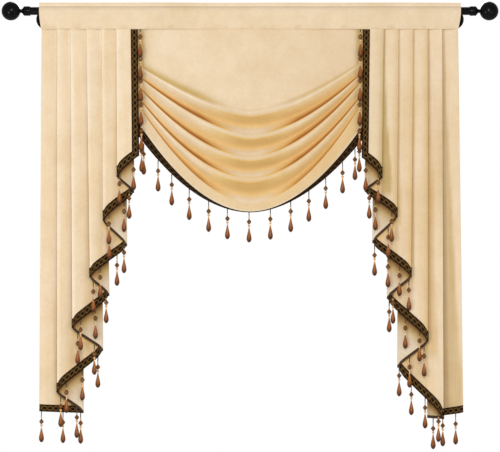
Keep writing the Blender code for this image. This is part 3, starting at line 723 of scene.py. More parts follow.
def sew(name, lines, material, pitch, length, radius):
    """Rows of stitches along lines of points."""
    verts, edges = [], []
    for line in lines:
        edges += [(len(verts) + i, len(verts) + i + 1) for i in range(len(line) - 1)]
        verts += [tuple(map(float, point)) for point in line]
    mesh = bpy.data.meshes.new(name)
    mesh.from_pydata(verts, edges, [])
    obj = in_scene(name, mesh)
    modifier = obj.modifiers.new("stitches", "NODES")
    modifier.node_group = stitches
    values = {"Pitch": pitch, "Length": length, "Radius": radius, "Thread": material}
    set_inputs(modifier, stitches, values)
    plain_mesh(obj)
    obj.data.shade_smooth()
    return obj


SEAM_ROW = (-101.8, -54.5)
FRILL_ROWS = ((-87.0, 17.6), (-83.0, 17.6))
ROW_HALF_WIDTH = 0.997 * BAND_HALF_WIDTH
row_xs = [ROW_HALF_WIDTH * (2 * i / BAND_COLUMNS - 1) for i in range(BAND_COLUMNS + 1)]
rows = []
for y, z in (SEAM_ROW, *FRILL_ROWS):
    rows.append([band_point(x, y * MM, ROD_Z + z * MM) for x in row_xs])
band_stitches = sew("band_stitches", rows, thread, STITCH_PITCH, STITCH_LENGTH, STITCH_RADIUS)
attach(band_stitches, "root")


# Cascades
# Two panels of the same velvet, each one sheet folded back and forth into five pleats with its
# hem cut to a slant, so that the pleats end in a zigzag. Their tops are caught in the band's seam.
CLOTH = 1.2 * MM
CLOTH_FACE_AT_TOP = -98.5 * MM
TUCK_TOP = -47 * MM
TAPE_WIDTH = 9 * MM
BRAID_WIDTH = 22.5 * MM
FRONT_LEAN = 8 * MM
FRONT_LEAN_DROP = 1260 * MM
FRONT_ROLL = 1.4 * MM
BACK_ROLL = 2.8 * MM
STRAIGHT = 0.9
HEM_CURLS = (0.36, 0, 0.22, 0, 0.05, 0, 0.02, 0, 0.0, 0, 0.06)
TIP_TURN = 0.085
TIP_POWER = 18
DEPTH_AT_BAND = 0.72
DEPTH_FULL_DROP = 170 * MM
MOST_BRAID_SLANT = 1.6
CASCADE_ROWS = 112
LAYER_COLUMNS = 13
ROLL_COLUMNS = 6

# One row for each fold, from a cascade's inner edge to its outer edge, in millimetres: how far
# from the centre line it lies at the band and at its tip, how far below the rod its tip ends,
# how far behind the front plane it lies at the band and at its tip, and where the bead strands
# hang on the hem that leads to it, as shares of that stretch of hem. Odd rows are front folds.
Fold = namedtuple("Fold", "at_band at_tip drop back_band back_tip strands")
LEFT_FOLDS = (
    Fold(353, 348, 455, 0, 0, ()),
    Fold(420, 417, 522, 0, 0, (0.26, 0.92)),
    Fold(368, 365, 572, 15, 22, (0.74,)),
    Fold(467, 461, 660, 0, 0, (0.30, 0.82)),
    Fold(392, 387, 740, 17, 30, (0.25, 0.90)),
    Fold(514, 503, 837, 0, 0, (0.25, 0.72)),
    Fold(454, 443, 896, 17, 33, (0.17, 0.87)),
    Fold(564, 558, 997, 0, 0, (0.36, 0.78)),
    Fold(469, 463, 1070, 24, 46, (0.17, 0.73)),
    Fold(606, 606, 1199, 0, 0, (0.09, 0.44, 0.80)),
    Fold(524, 524, 1265, 20, 40, (0.13, 0.76)),
    Fold(655, 662, 1258, 0, 0, (0.04, 0.45, 0.95)),
)
RIGHT_FOLDS = (
    Fold(355, 351, 461, 0, 0, ()),
    Fold(421, 414, 525, 0, 0, (0.20, 0.84)),
    Fold(368, 361, 569, 15, 22, (0.76,)),
    Fold(468, 462, 648, 0, 0, (0.31, 0.84)),
    Fold(392, 385, 730, 17, 30, (0.36,)),
    Fold(514, 506, 836, 0, 0, (0.03, 0.39, 0.70)),
    Fold(440, 431, 906, 17, 33, (0.08, 0.77)),
    Fold(559, 559, 1038, 0, 0, (0.03, 0.44, 0.80)),
    Fold(467, 464, 1122, 24, 46, (0.12, 0.61, 0.96)),
    Fold(604, 608, 1283, 0, 0, (0.29, 0.60, 0.90)),
    Fold(558, 558, 1280, 20, 40, (0.65,)),
    Fold(654, 670, 1261, 0, 0, (0.41, 0.78)),
)
CASCADES = (("left", -1, LEFT_FOLDS), ("right", 1, RIGHT_FOLDS))

# One row for each pleat past the first: how much of its painted shade is khaki, and where the
# pleat before it casts a painted shadow on it, that shadow's width at the tip in millimetres, the
# power by which it widens on the way down, its depth, and how soft its edge is in millimetres.
Pleat = namedtuple("Pleat", "khaki shadow growth depth edge", defaults=(0, 0, 0, 0))
PLEATS = {
    "left": (Pleat(0.25), Pleat(0.25), Pleat(0.2), Pleat(0.2), Pleat(0.25)),
    "right": (
        Pleat(1.0, 29, 2.2, 0.36, 4),
        Pleat(0.25, 12, 4, 0.2, 3),
        Pleat(0.15, 10, 4, 0.2, 3),
        Pleat(0.2, 24, 1, 0.22, 3.5),
        Pleat(0.8, 58, 1.25, 0.2, 5),
    ),
}
# Painted shade and light on the cascades: gold lines and painted cast shadows beside each pleat's edge,
# painted light in the slits and along the lit edges, and painted shade under each turned-back hem.
SHADE_FULL_DROP = 330 * MM
SHADOW_DEEPENING = 0.08
SHADOW_PAST_TIP = 1.4
SHADOW_END = 14 * MM
GOLD_AT_BAND = 0.05
GOLD_DEEPENING = 0.04
GOLD_AT_TIP = 0.26
TIP_GOLD_REACH = 260 * MM
GOLD_REACH = 16 * MM
GOLD_START = 2 * MM
EDGE_GOLD = 0.22
EDGE_GOLD_DEEPENING = 0.2
EDGE_GOLD_REACH = 11 * MM
OUTER_GOLD = 0.24
OUTER_GOLD_DROP = 470 * MM
OUTER_GOLD_SPREAD = 190 * MM
OUTER_GOLD_REACH = 26 * MM
EDGE_LIGHT = 0.09
EDGE_LIGHT_REACH = 9 * MM
SLIT_LIGHT = 0.14
SLIT_REACH = 2.2 * MM
TURNED_BACK_SHADE = 0.1
UNDER_HEM_SHADE = 0.95
HEM_SHADE_REACH = 22 * MM
HEM_SHADE_POWER = 1.2
COVERED_PAST = -6 * MM
COVERED_SHADE = 0.1
COVERED_UNDER_HEM = 0.3
COVERED_KHAKI = 0.05
KHAKI_FOR_GOLD = 0.6
KHAKI_STRENGTH = 1.7


def fold_circle(fold, index, last, drop):
    """Centre, as (distance from the centre line, y), and radius of one roll of cloth."""
    share = (drop + TUCK_TOP) / (fold.drop * MM + TUCK_TOP)
    across = (fold.at_band + (fold.at_tip - fold.at_band) * share) * MM
    behind = (fold.back_band + (fold.back_tip - fold.back_band) * share) * MM
    behind *= DEPTH_AT_BAND + (1 - DEPTH_AT_BAND) * min(drop / DEPTH_FULL_DROP, 1)
    plane = CLOTH_FACE_AT_TOP + CLOTH / 2 - FRONT_LEAN * (drop + TUCK_TOP) / FRONT_LEAN_DROP
    if index in (0, last):
        return (across, plane + behind), 0.0
    if index % 2:
        return (across - FRONT_ROLL, plane + behind + FRONT_ROLL), FRONT_ROLL
    return (across + BACK_ROLL, plane + behind - BACK_ROLL), BACK_ROLL


def layer_heading(folds, layer, drop):
    """The direction of the straight cloth between two rolls, and the two circles."""
    last = len(folds) - 1
    start, start_radius = fold_circle(folds[layer], layer, last, drop)
    end, end_radius = fold_circle(folds[layer + 1], layer + 1, last, drop)
    across, back = end[0] - start[0], end[1] - start[1]
    swing = math.asin((start_radius + end_radius) / math.hypot(across, back))
    heading = math.atan2(back, across) + (swing if layer % 2 else -swing)
    return heading, (start, start_radius), (end, end_radius)


def cascade_point(folds, place, drop):
    """A point of a cascade's middle surface and its outward normal, both as (across, y).

    place counts the layers from the inner edge: the first nine tenths of each unit are the
    straight cloth, and the last tenth is the roll at its end.
    """
    layer = min(int(place + 1e-9), len(folds) - 2)
    share = (place - layer) / STRAIGHT
    heading, (start, start_radius), (end, end_radius) = layer_heading(folds, layer, drop)
    outward = 1 if layer % 2 == 0 else -1
    if share <= 1 + 1e-9:
        left = np.array((-math.sin(heading), math.cos(heading)))
        first = np.array(start) + outward * start_radius * left
        second = np.array(end) - outward * end_radius * left
        return first + (second - first) * share, -left
    turn = (place - layer - STRAIGHT) / (1 - STRAIGHT)
    following = layer_heading(folds, layer + 1, drop)[0]
    while outward * (following - heading) < 0:
        following += outward * 2 * math.pi
    heading += (following - heading) * turn
    left = np.array((-math.sin(heading), math.cos(heading)))
    return np.array(end) - outward * end_radius * left, -left


def layer_share(folds, place):
    layer = min(int(place + 1e-9), len(folds) - 2)
    return layer, min((place - layer) / STRAIGHT, 1)


def hem_drop(folds, place):
    """How far below the rod the braid's lower edge lies; it turns down steeply at each fold."""
    layer, share = layer_share(folds, place)
    turned = 0.5 * share**TIP_POWER
    turned += 0.5 * share if layer == 0 else 0.5 - 0.5 * (1 - share) ** TIP_POWER
    share += HEM_CURLS[layer] * share * (share - 1)
    share += 2 * TIP_TURN * (turned - share)
    return (folds[layer].drop + (folds[layer + 1].drop - folds[layer].drop) * share) * MM


def slant(folds, layer, share):
    """How much taller the braid measures straight up than across, on an outward layer."""
    fold, following = folds[layer], folds[layer + 1]
    slope = (following.drop - fold.drop) / (following.at_tip - fold.at_tip)
    slope *= 1 + HEM_CURLS[layer] * (2 * share - 1)
    return min(math.hypot(1, slope), MOST_BRAID_SLANT)


def braid_height(folds, place):
    """The braid's height, measured straight up, on a slanting hem."""
    layer, share = layer_share(folds, place)
    if layer % 2 == 0:
        return BRAID_WIDTH * slant(folds, layer, share)
    before, after = slant(folds, layer - 1, 1), slant(folds, layer + 1, 0)
    return BRAID_WIDTH * (before + (after - before) * share)


def cascade_places(folds, per_layer, per_roll):
    """Places from the inner edge to the outer, closer together round the rolls."""
    places = []
    for layer in range(len(folds) - 1):
        places += [layer + STRAIGHT * i / per_layer for i in range(per_layer)]
        places += [layer + STRAIGHT + (1 - STRAIGHT) * i / per_roll for i in range(per_roll)]
    return places[: 1 - per_roll]


def edge_share(folds, width):
    """The place on the first layer that lies this far in from its edge."""
    return STRAIGHT * width / ((folds[1].at_band - folds[0].at_band) * MM)


SETTLED_FROM = 70 * MM
SETTLED_OVER = 160 * MM
SWAY, SWAY_WAVES = 1.6 * MM, (21, 34)
RIPPLE, RIPPLE_WAVES = 0.5 * MM, (38, 61)
STREAK, STREAK_WAVES = 1.2 * MM, (205, 262, 331)
STREAK_LEAN = 0.05


def settled(x, y, z):
    """The slow unevenness of the hanging cloth, the same for every layer at one place."""
    below = part_way(ROD_Z - SETTLED_FROM - z, 0, SETTLED_OVER)
    slow = SWAY * waves(x, z, SWAY_WAVES, seed=4) + RIPPLE * waves(z, x, RIPPLE_WAVES, seed=5)
    return y + below * (slow + STREAK * waves(x, STREAK_LEAN * z, STREAK_WAVES, seed=6))


def cascade_grid(folds, side, rows):
    """World points and normals for rows of (place, drop) pairs."""
    points, normals = [], []
    for row in rows:
        line, facing = [], []
        for place, drop in row:
            (across, y), normal = cascade_point(folds, place, drop)
            x, z = side * across, ROD_Z - drop
            line.append((x, settled(x, y, z), z))
            facing.append((side * normal[0], normal[1], 0))
        points.append(line)
        normals.append(facing)
    return np.array(points), np.array(normals)


def slab(points, normals, front, back):
    """Vertices, faces and each face's side (0 front, 1 back, 2 rim) of a sheet over a grid."""
    rows, columns = points.shape[:2]
    front, back = (np.broadcast_to(offset, (rows, columns))[..., None] for offset in (front, back))
    verts = np.concatenate([(points + normals * offset).reshape(-1, 3) for offset in (front, back)])
    second = rows * columns
    faces, sides = [], []
    for r in range(rows - 1):
        for c in range(columns - 1):
            a, b = r * columns + c, (r + 1) * columns + c
            faces.append((a, a + 1, b + 1, b))
            faces.append((second + a, second + b, second + b + 1, second + a + 1))
            sides += [0, 1]
    rim = list(range(columns - 1))
    rim += [r * columns + columns - 1 for r in range(rows - 1)]
    rim += [(rows - 1) * columns + c for c in range(columns - 1, 0, -1)]
    rim += [r * columns for r in range(rows - 1, 0, -1)]
    for here, there in zip(rim, rim[1:] + rim[:1]):
        faces.append((here, second + here, second + there, there))
        sides.append(2)
    return verts, faces, sides


def sheet_piece(name, grid, front, back, materials, fields, smooth=50):
    """A thin sheet over a grid, with one material for each side and its fields as attributes."""
    verts, faces, sides = slab(*grid, front, back)
    mesh = bpy.data.meshes.new(name)
    mesh.from_pydata(verts.tolist(), [], faces)
    for label, values in fields.items():
        add_field(mesh, label, np.tile(np.asarray(values, np.float32).ravel(), 2))
    if len(materials) > 1:
        mesh.polygons.foreach_set("material_index", [1 if side == 1 else 0 for side in sides])
    for material in materials:
        mesh.materials.append(material)
    faces_outward(mesh)
    smooth_shade(mesh, smooth)
    return in_scene(name, mesh)


def layer_in_front(folds, layer, across, drop):
    """How far below the hem of the layer in front a point of this layer lies."""
    first = cascade_point(folds, layer - 1, drop)[0][0]
    second = cascade_point(folds, layer - 1 + STRAIGHT, drop)[0][0]
    share = part_way(across, first, second - first)
    return drop - hem_drop(folds, layer - 1 + STRAIGHT * share)


def front_edge(folds, index, drop):
    """How far from the centre line the outermost cloth of a front fold lies."""
    return fold_circle(folds[index], index, len(folds) - 1, drop)[0][0] + FRONT_ROLL


def shade_past_edge(tip, drop, past, pleat):
    """The painted shade that one pleat gives the next: a painted cast shadow, or else a narrow line of
    painted gold shade.
    """
    lower = part_way(drop, SEAM_DROP, SHADE_FULL_DROP)
    if pleat.shadow:
        width = pleat.shadow * MM * min(drop / tip, 1) ** pleat.growth
        below_end = max(drop - tip - SHADOW_PAST_TIP * pleat.shadow * MM, 0)
        shade = pleat.depth + SHADOW_DEEPENING * lower
        return shade * fading(max(past - width, 0), pleat.edge * MM, 2) * fading(below_end, SHADOW_END)
    near_tip = fading(max(tip - drop, 0), TIP_GOLD_REACH)
    shade = GOLD_AT_BAND + GOLD_DEEPENING * lower + GOLD_AT_TIP * near_tip
    return shade * fading(past, GOLD_REACH) * (1 - fading(past, GOLD_START))


def gold_at_edge(folds, layer, drop, before):
    """Painted gold shade on a pleat's own front edge, broad and high up on the outermost pleat but one.
    """
    if layer == len(folds) - 4:
        high_up = fading(drop - OUTER_GOLD_DROP, OUTER_GOLD_SPREAD, 2)
        return OUTER_GOLD * high_up * fading(before, OUTER_GOLD_REACH)
    lower = part_way(drop, SEAM_DROP, SHADE_FULL_DROP)
    return (EDGE_GOLD + EDGE_GOLD_DEEPENING * lower) * fading(before, EDGE_GOLD_REACH)


def pleat_shade(folds, place, drop, pleats):
    """Painted shade and khaki of one point of a cascade.

    Cloth that turns back is painted darkest just under the hem in front of it. On the other layers
    the painted shade lies past the edge of the pleat before, and the slit itself is painted pale, as
    painted light. A pleat's own edge is painted gold where the pleats cast shadows, and painted pale
    where they don't.
    """
    layer = layer_share(folds, place)[0]
    across = cascade_point(folds, place, drop)[0][0]
    if layer % 2:
        below_hem = max(layer_in_front(folds, layer, across, drop), 0)
        under_hem = fading(below_hem, HEM_SHADE_REACH, HEM_SHADE_POWER)
        return TURNED_BACK_SHADE + UNDER_HEM_SHADE * under_hem, 0.0
    shade, khaki, lit = 0.0, pleats[max(layer // 2 - 1, 0)].khaki, 0.0
    if layer > 0:
        past = across - front_edge(folds, layer - 1, drop)
        below_hem = layer_in_front(folds, layer, across, drop)
        if past < 0 and (below_hem > 0 or past < COVERED_PAST):
            under_hem = fading(max(below_hem, 0), HEM_SHADE_REACH)
            return COVERED_SHADE + COVERED_UNDER_HEM * under_hem, COVERED_KHAKI
        past = max(past, 0)
        shade = shade_past_edge(folds[layer - 1].drop * MM, drop, past, pleats[layer // 2 - 1])
        lit = SLIT_LIGHT * fading(past, SLIT_REACH)
    if layer < len(folds) - 2:
        before = max(front_edge(folds, layer + 1, drop) - across, 0)
        if not pleats[0].shadow:
            lit += EDGE_LIGHT * fading(before, EDGE_LIGHT_REACH)
        elif gold_at_edge(folds, layer, drop, before) > shade:
            shade, khaki = gold_at_edge(folds, layer, drop, before), pleats[layer // 2].khaki
    return shade * (1 - KHAKI_FOR_GOLD * khaki) - lit, KHAKI_STRENGTH * shade * khaki


cascade_pieces = {}
for name, side, folds in CASCADES:
    places = cascade_places(folds, LAYER_COLUMNS, ROLL_COLUMNS)
    places[0] = edge_share(folds, TAPE_WIDTH + GAP)
    rows = []
    for i in range(CASCADE_ROWS + 1):
        share = i / CASCADE_ROWS
        row = []
        for place in places:
            end = hem_drop(folds, place) - TAPE_WIDTH - GAP
            row.append((place, -TUCK_TOP + (end + TUCK_TOP) * share))
        rows.append(row)
    grid = cascade_grid(folds, side, rows)
    tones = [[pleat_shade(folds, place, drop, PLEATS[name]) for place, drop in row] for row in rows]
    tones = np.array(tones)
    cascade_pieces[name] = sheet_piece(
        f"pleated_cascade_{name}", grid, CLOTH / 2, -CLOTH / 2, [pleated_side, wrong_side],
        {"shade": tones[..., 0], "khaki": tones[..., 1]})
    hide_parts(f"cascade_{name}")
    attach(cascade_pieces[name], "root")


# Swag
# One panel of the velvet, cut wider and longer than its place and gathered up at both sides,
# so that it falls in five rolls between the cascades. Its hem turns back under the last roll.
SWAG_HALF_WIDTH = 336.3 * MM
SWAG_OVERLAP = 1.072
SWAG_DEPTH_POWER = 2.2
SWAG_COLUMNS = 168
SWAG_ROW = 4.2 * MM
# One row for each line that runs across the swag, from the band to the hem, in millimetres: its
# drop below the rod at the left side, the centre and the right side, the powers of its left and
# right curves, and its depth from the wall at the sides and at the centre.
Line = namedtuple("Line", "left centre right curve_left curve_right side front")
SWAG_LINES = (
    Line(47, 47, 47, 1, 1, 92.5, 97.9),
    Line(58, 58, 58, 1, 1, 92.5, 97.9),
    Line(177, 313, 169, 1.42, 1.52, 92, 110),
    Line(187, 336, 179, 1.55, 1.60, 92, 117),
    Line(209, 364, 203, 1.60, 1.72, 89, 101),
    Line(216, 388, 209, 1.52, 1.72, 92, 116),
    Line(222, 407, 215, 1.60, 1.75, 92, 121),
    Line(247, 435, 232, 1.80, 1.72, 89, 104),
    Line(253, 457, 237, 1.75, 1.76, 92, 118),
    Line(259, 476, 246, 1.80, 1.80, 92, 122),
    Line(284, 503, 276, 1.90, 1.80, 89, 105),
    Line(290, 524, 282, 1.80, 1.80, 92, 118),
    Line(296, 545, 289, 1.85, 1.80, 92, 121),
    Line(313, 580, 310, 1.75, 1.80, 90, 104),
    Line(320, 607, 316, 1.75, 1.85, 92, 116),
    Line(372, 630, 386, 1.90, 1.90, 92.5, 114),
    Line(412, 631, 425, 1.95, 1.88, 92.5, 93),
)
SHOULDERS = (2, 5, 8, 11, 14)
LIPS = (3, 6, 9, 12)
VALLEYS = (4, 7, 10, 13)
LAST_STRIP = len(SWAG_LINES) - 2

# Painted shade across the strips between the lines, as (share of the strip, tone): where the
# folds hang loose in the middle, and where they are drawn together at the sides. The shoulder light is
# painted light along each ridge.
LOOSE_HALF = 0.1
DRAWN_OVER = 0.35
SHOULDER_LOOSE = ((0, 0.12), (0.25, 0), (0.5, 0), (0.9, 0.42))
SHOULDER_DRAWN = ((0, 1), (0.4, 0))
SHOULDER_LIGHT = ((0.3, 0), (0.5, 0.06))
LIP_LOOSE = ((0, 0.5), (1, 0.32))
LIP_DRAWN_LEFT = 0.1
LIP_DRAWN_RIGHT = 0.16
LIP_DRAWN_DEEPER = 0.34
LIP_POWER = 1.2
LIP_NARROWING = 5
LIP_NARROWS_FROM = 0.5
VALLEY_LOOSE = ((0, 0.32), (0.55, 0))
VALLEY_DRAWN = 0.42
VALLEY_DRAWN_DEEPER = 0.58
VALLEY_POWER = 1.5
DRAWN_ON_RIGHT = 0.9
# A painted shade over the whole swag: deeper towards the right, stronger on the top panel and hem, and
# deeper on each roll further down.
SWAG_BASE_SHADE = 0.05
FLAT_PANEL_SHADE_GAIN = 1.2
HEM_SHADE_GAIN = 1.6
EACH_ROLL_DEEPER_SHADE = 0.045
# Painted shade along the crease above the top roll.
CREASE_SHADE = 0.4
CREASE_FROM = 0.2
CREASE_OVER = 0.3
CREASE_ENDS = 0.25
CREASE_POWER = 1.4
CREASE_REACH_LEFT = 11 * MM
CREASE_REACH_RIGHT = 3.5 * MM
CREASE_ON_RIGHT = 0.45
CREASE_KHAKI = 0.75
# Painted shadow in khaki beside the beads at each side, along the top crease and under each roll's lip.
SIDE_SHADE_LEFT = 12 * MM
SIDE_SHADE_RIGHT = 5 * MM
FLAT_SIDE_KHAKI = 0.8
ROLL_SIDE_KHAKI = 0.35
LIP_KHAKI = 0.45


def swag_line(line, x):
    """Drop below the rod and depth from the wall of one of the swag's lines, in metres."""
    side, power = (line.left, line.curve_left) if x < 0 else (line.right, line.curve_right)
    share = abs(x) / SWAG_HALF_WIDTH
    drop = side + (line.centre - side) * (1 - share**power)
    depth = line.side + (line.front - line.side) * max(0, 1 - share**SWAG_DEPTH_POWER)
    return drop * MM, depth * MM


def smooth_through(places, values):
    """Slopes of a smooth curve through the values, level at every top and bottom."""
    steps = [(b - a) / (q - p) for a, b, p, q in zip(values, values[1:], places, places[1:])]
    slopes = [steps[0]]
    for before, after in zip(steps, steps[1:]):
        level = before * after <= 0
        slopes.append(0.0 if level else 2 * before * after / (before + after))
    return slopes + [steps[-1]]


def hermite(t, gap, low, high, slope_low, slope_high):
    rise = (2 * t**3 - 3 * t**2 + 1) * low + (3 * t**2 - 2 * t**3) * high
    return rise + gap * ((t**3 - 2 * t**2 + t) * slope_low + (t**3 - t**2) * slope_high)


def swag_column(x, shares):
    """Points down one column: for each strip, a point at each of its shares."""
    lines = [swag_line(line, x) for line in SWAG_LINES]
    drops, depths = [drop for drop, _ in lines], [depth for _, depth in lines]
    slopes = smooth_through(drops[:-1], depths[:-1]) + [0.0]
    column = []
    for strip in range(len(SWAG_LINES) - 1):
        gap = drops[strip + 1] - drops[strip]
        for share in shares[strip]:
            if strip == LAST_STRIP:
                depth = depths[strip] + (depths[strip + 1] - depths[strip]) * share
            else:
                ends = depths[strip], depths[strip + 1], slopes[strip], slopes[strip + 1]
                depth = hermite(share, gap, *ends)
            drop = drops[strip] + gap * share
            column.append((x, -depth, ROD_Z - drop))
    return column


def drawn_share(x):
    """0 in the middle, where the folds hang loose, and 1 where they are drawn together."""
    return part_way(abs(x) / SWAG_HALF_WIDTH, LOOSE_HALF, DRAWN_OVER)


def tone_at(share, stops):
    """The tone at a share of a strip, from stops of (share, tone)."""
    return float(np.interp(share, *zip(*stops)))


def swag_shade(x, strip, share):
    """Painted shade: gold under each roll, deepest and sharpest where the folds are drawn together,
    with painted light along each ridge.
    """
    drawn, on_left = drawn_share(x), x < 0
    core = 1 if on_left else DRAWN_ON_RIGHT
    # The ground is painted shade, deeper towards the right and on each roll further down.
    ground = SWAG_BASE_SHADE * (1 + x / SWAG_HALF_WIDTH)
    deeper = EACH_ROLL_DEEPER_SHADE * min(strip // 3, 3)
    loose = gathered = 0.0
    if strip in LIPS:
        loose = tone_at(share, LIP_LOOSE)
        edge = min(abs(x) / SWAG_HALF_WIDTH, 1)
        power = LIP_POWER + LIP_NARROWING * max(edge - LIP_NARROWS_FROM, 0)
        gathered = (LIP_DRAWN_LEFT if on_left else LIP_DRAWN_RIGHT) + LIP_DRAWN_DEEPER * share**power
    elif strip in VALLEYS:
        loose = tone_at(share, VALLEY_LOOSE)
        gathered = (VALLEY_DRAWN + VALLEY_DRAWN_DEEPER * share**VALLEY_POWER) * core
    elif strip in SHOULDERS and strip < LAST_STRIP - 1:
        loose = tone_at(share, SHOULDER_LOOSE)
        gathered = tone_at(share, SHOULDER_DRAWN) * core if strip > SHOULDERS[0] else 0.0
        gathered -= tone_at(share, SHOULDER_LIGHT)
        ground += deeper
    else:
        ground = ground * (FLAT_PANEL_SHADE_GAIN if strip < SHOULDERS[0] else HEM_SHADE_GAIN) + deeper
    tone = ground + loose * (1 - drawn) + gathered * drawn
    return tone + CREASE_SHADE * top_crease(x, strip, share)


def top_crease(x, strip, share):
    """How near a point is to the painted shade of the crease above the top roll, which is fainter on
    the right.
    """
    if strip not in (1, 2):
        return 0.0
    (seam, _), (shoulder, _) = (swag_line(line, x) for line in SWAG_LINES[1:3])
    above = (shoulder - seam) * (1 - share) if strip == 1 else 0.0
    ended = part_way(share, CREASE_ENDS, CREASE_ENDS) if strip == 2 else 0.0
    folded = part_way(abs(x) / SWAG_HALF_WIDTH, CREASE_FROM, CREASE_OVER)
    reach, strength = (CREASE_REACH_LEFT, 1) if x < 0 else (CREASE_REACH_RIGHT, CREASE_ON_RIGHT)
    return folded * strength * (1 - ended) * fading(above, reach, CREASE_POWER)


def swag_khaki(x, strip, share):
    """Painted shadow in khaki beside the hanging beads, along the top crease and under each roll's lip.
    """
    from_side = max(SWAG_HALF_WIDTH - abs(x), 0)
    beside = fading(from_side, SIDE_SHADE_LEFT if x < 0 else SIDE_SHADE_RIGHT)
    crease = CREASE_KHAKI * top_crease(x, strip, share)
    if strip < SHOULDERS[0]:
        return max(crease, FLAT_SIDE_KHAKI * beside)
    under_lip = LIP_KHAKI * (1 - drawn_share(x)) * (1 - share) if strip in LIPS else 0.0
    return max(crease, ROLL_SIDE_KHAKI * beside, under_lip)


swag_reach = SWAG_HALF_WIDTH * SWAG_OVERLAP
swag_xs = [swag_reach * (2 * i / SWAG_COLUMNS - 1) for i in range(SWAG_COLUMNS + 1)]
swag_shares = []
for upper, lower in zip(SWAG_LINES, SWAG_LINES[1:]):
    steps = max(3, round((lower.centre - upper.centre) * MM / SWAG_ROW))
    swag_shares.append([i / steps for i in range(steps)])
swag_shares[-1] = [0.0, 0.25, 0.5, 0.75, 1.0]


def facing(points):
    """Normals of a grid of points, towards the room where the grid hangs flat."""
    down, right = np.gradient(points, axis=0), np.gradient(points, axis=1)
    normals = np.cross(down, right)
    return normals / np.linalg.norm(normals, axis=2, keepdims=True)


swag_points = np.array([swag_column(x, swag_shares) for x in swag_xs]).transpose(1, 0, 2)
swag_normals = facing(swag_points)
swag_tones, swag_khakis = [], []
for strip, shares in enumerate(swag_shares):
    swag_tones += [[swag_shade(x, strip, share) for x in swag_xs] for share in shares]
    swag_khakis += [[swag_khaki(x, strip, share) for x in swag_xs] for share in shares]
braid_zone = len(swag_shares[-1])
braid_top, swag_hem = swag_points[-braid_zone], swag_points[-1]
zone_shares = [0.0, 0.25, 0.5, 1 - (TAPE_WIDTH + GAP) / BRAID_WIDTH]
zone = np.array([braid_top + (swag_hem - braid_top) * share for share in zone_shares])
zone_tones = [[0.0] * len(swag_xs)] * len(zone_shares)
panel_tones = swag_tones[:-braid_zone] + zone_tones
panel_khakis = swag_khakis[:-braid_zone] + zone_tones
panel = np.concatenate([swag_points[:-braid_zone], zone])
panel_normals = np.concatenate([swag_normals[: 1 - braid_zone], np.repeat(swag_normals[-1:], 3, 0)])
swag = sheet_piece(
    "draped_swag", (panel, panel_normals), CLOTH / 2, -CLOTH / 2, [right_side, wrong_side],
    {"shade": panel_tones, "khaki": panel_khakis}, 60)
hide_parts("swag")
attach(swag, "root")


# Braid
# Woven braid 22.5 mm wide, dark brown with a taupe lattice of ovals round black dots and a
# twisted cord along each edge. It is sewn flat to the right side of every hem and upright edge.
BRAID = 1.5 * MM
BRAID_LIFT = 0.4 * MM
BRAID_REPEAT = 18.5 * MM
BRAID_STEP = 1.7 * MM
BRAID_ACROSS = 14
LATTICE_SWING = 0.26
LATTICE_HALF = 0.078
LATTICE_HEIGHT = 0.75
DOT_LENGTH = 0.83
DOT_HALF = 0.165
EDGE_CORD = 0.12
EDGE_ROUNDING = 0.03
CORD_TWIST = 3.4 * MM
CORD_SLANT = 14
TWIST_DEPTH = 0.2
WEFT_PITCH = 1.1 * MM
WEFT_HEIGHT = 0.3
RELIEF = 0.55 * MM
LATTICE_TAUPE = (0.155, 0.086, 0.022)
BRAID_BROWN = (0.042, 0.019, 0.005)
BRAID_BLACK = (0.004, 0.003, 0.002)
EDGE_BROWN = (0.014, 0.006, 0.002)
SWAG_TAUPE = (0.075, 0.042, 0.014)
SWAG_BROWN = (0.030, 0.010, 0.004)


def woven_braid(name, taupe, brown):
    """Ovals round black dots between two dark edge cords, from the distances along and across."""
    material, nodes, links = new_material(name)
    shader = nodes["Principled BSDF"]

    def calc(operation, *values):
        return maths(nodes, links, operation, *values)

    along, across = field(nodes, "along"), field(nodes, "across")
    phase = calc("MULTIPLY", along, math.pi / BRAID_REPEAT)
    middle = calc("ABSOLUTE", calc("SUBTRACT", across, 0.5))
    swing = calc("ABSOLUTE", calc("MULTIPLY", calc("SINE", phase), LATTICE_SWING))
    from_lattice = calc("ABSOLUTE", calc("SUBTRACT", middle, swing))
    lattice = ramp(nodes, links, from_lattice, [(0.4 * LATTICE_HALF, 1), (1.5 * LATTICE_HALF, 0)])
    dot_length = calc("POWER", calc("DIVIDE", calc("ABSOLUTE", calc("COSINE", phase)), DOT_LENGTH), 2.0)
    dot_width = calc("POWER", calc("DIVIDE", middle, DOT_HALF), 2.0)
    dot = calc("LESS_THAN", calc("ADD", dot_length, dot_width), 1.0)
    edge = calc("GREATER_THAN", middle, 0.5 - EDGE_CORD)
    turns = calc("MULTIPLY", along, 2 * math.pi / CORD_TWIST)
    ridge = calc("SINE", calc("ADD", turns, calc("MULTIPLY", across, CORD_SLANT)))
    weft = calc("SINE", calc("MULTIPLY", along, 2 * math.pi / WEFT_PITCH))
    patchy = object_noise(nodes, links, scale=160, detail=3)
    mottled = ramp(nodes, links, patchy, [(0.3, tuple(c * 0.6 for c in taupe)), (0.7, taupe)])
    ground = blend_colours(nodes, links, lattice, brown, mottled)
    ground = blend_colours(nodes, links, dot, ground, BRAID_BLACK)
    links.new(blend_colours(nodes, links, edge, ground, EDGE_BROWN), shader.inputs["Base Color"])
    shader.inputs["Specular IOR Level"].default_value = 0.05
    links.new(ramp(nodes, links, patchy, [(0.3, 0.6), (0.7, 0.9)]), shader.inputs["Roughness"])
    height = calc("ADD", calc("MULTIPLY", weft, WEFT_HEIGHT), calc("MULTIPLY", ridge, edge))
    raise_surface(nodes, links, height, distance=0.3 * MM, strength=0.5)
    return material


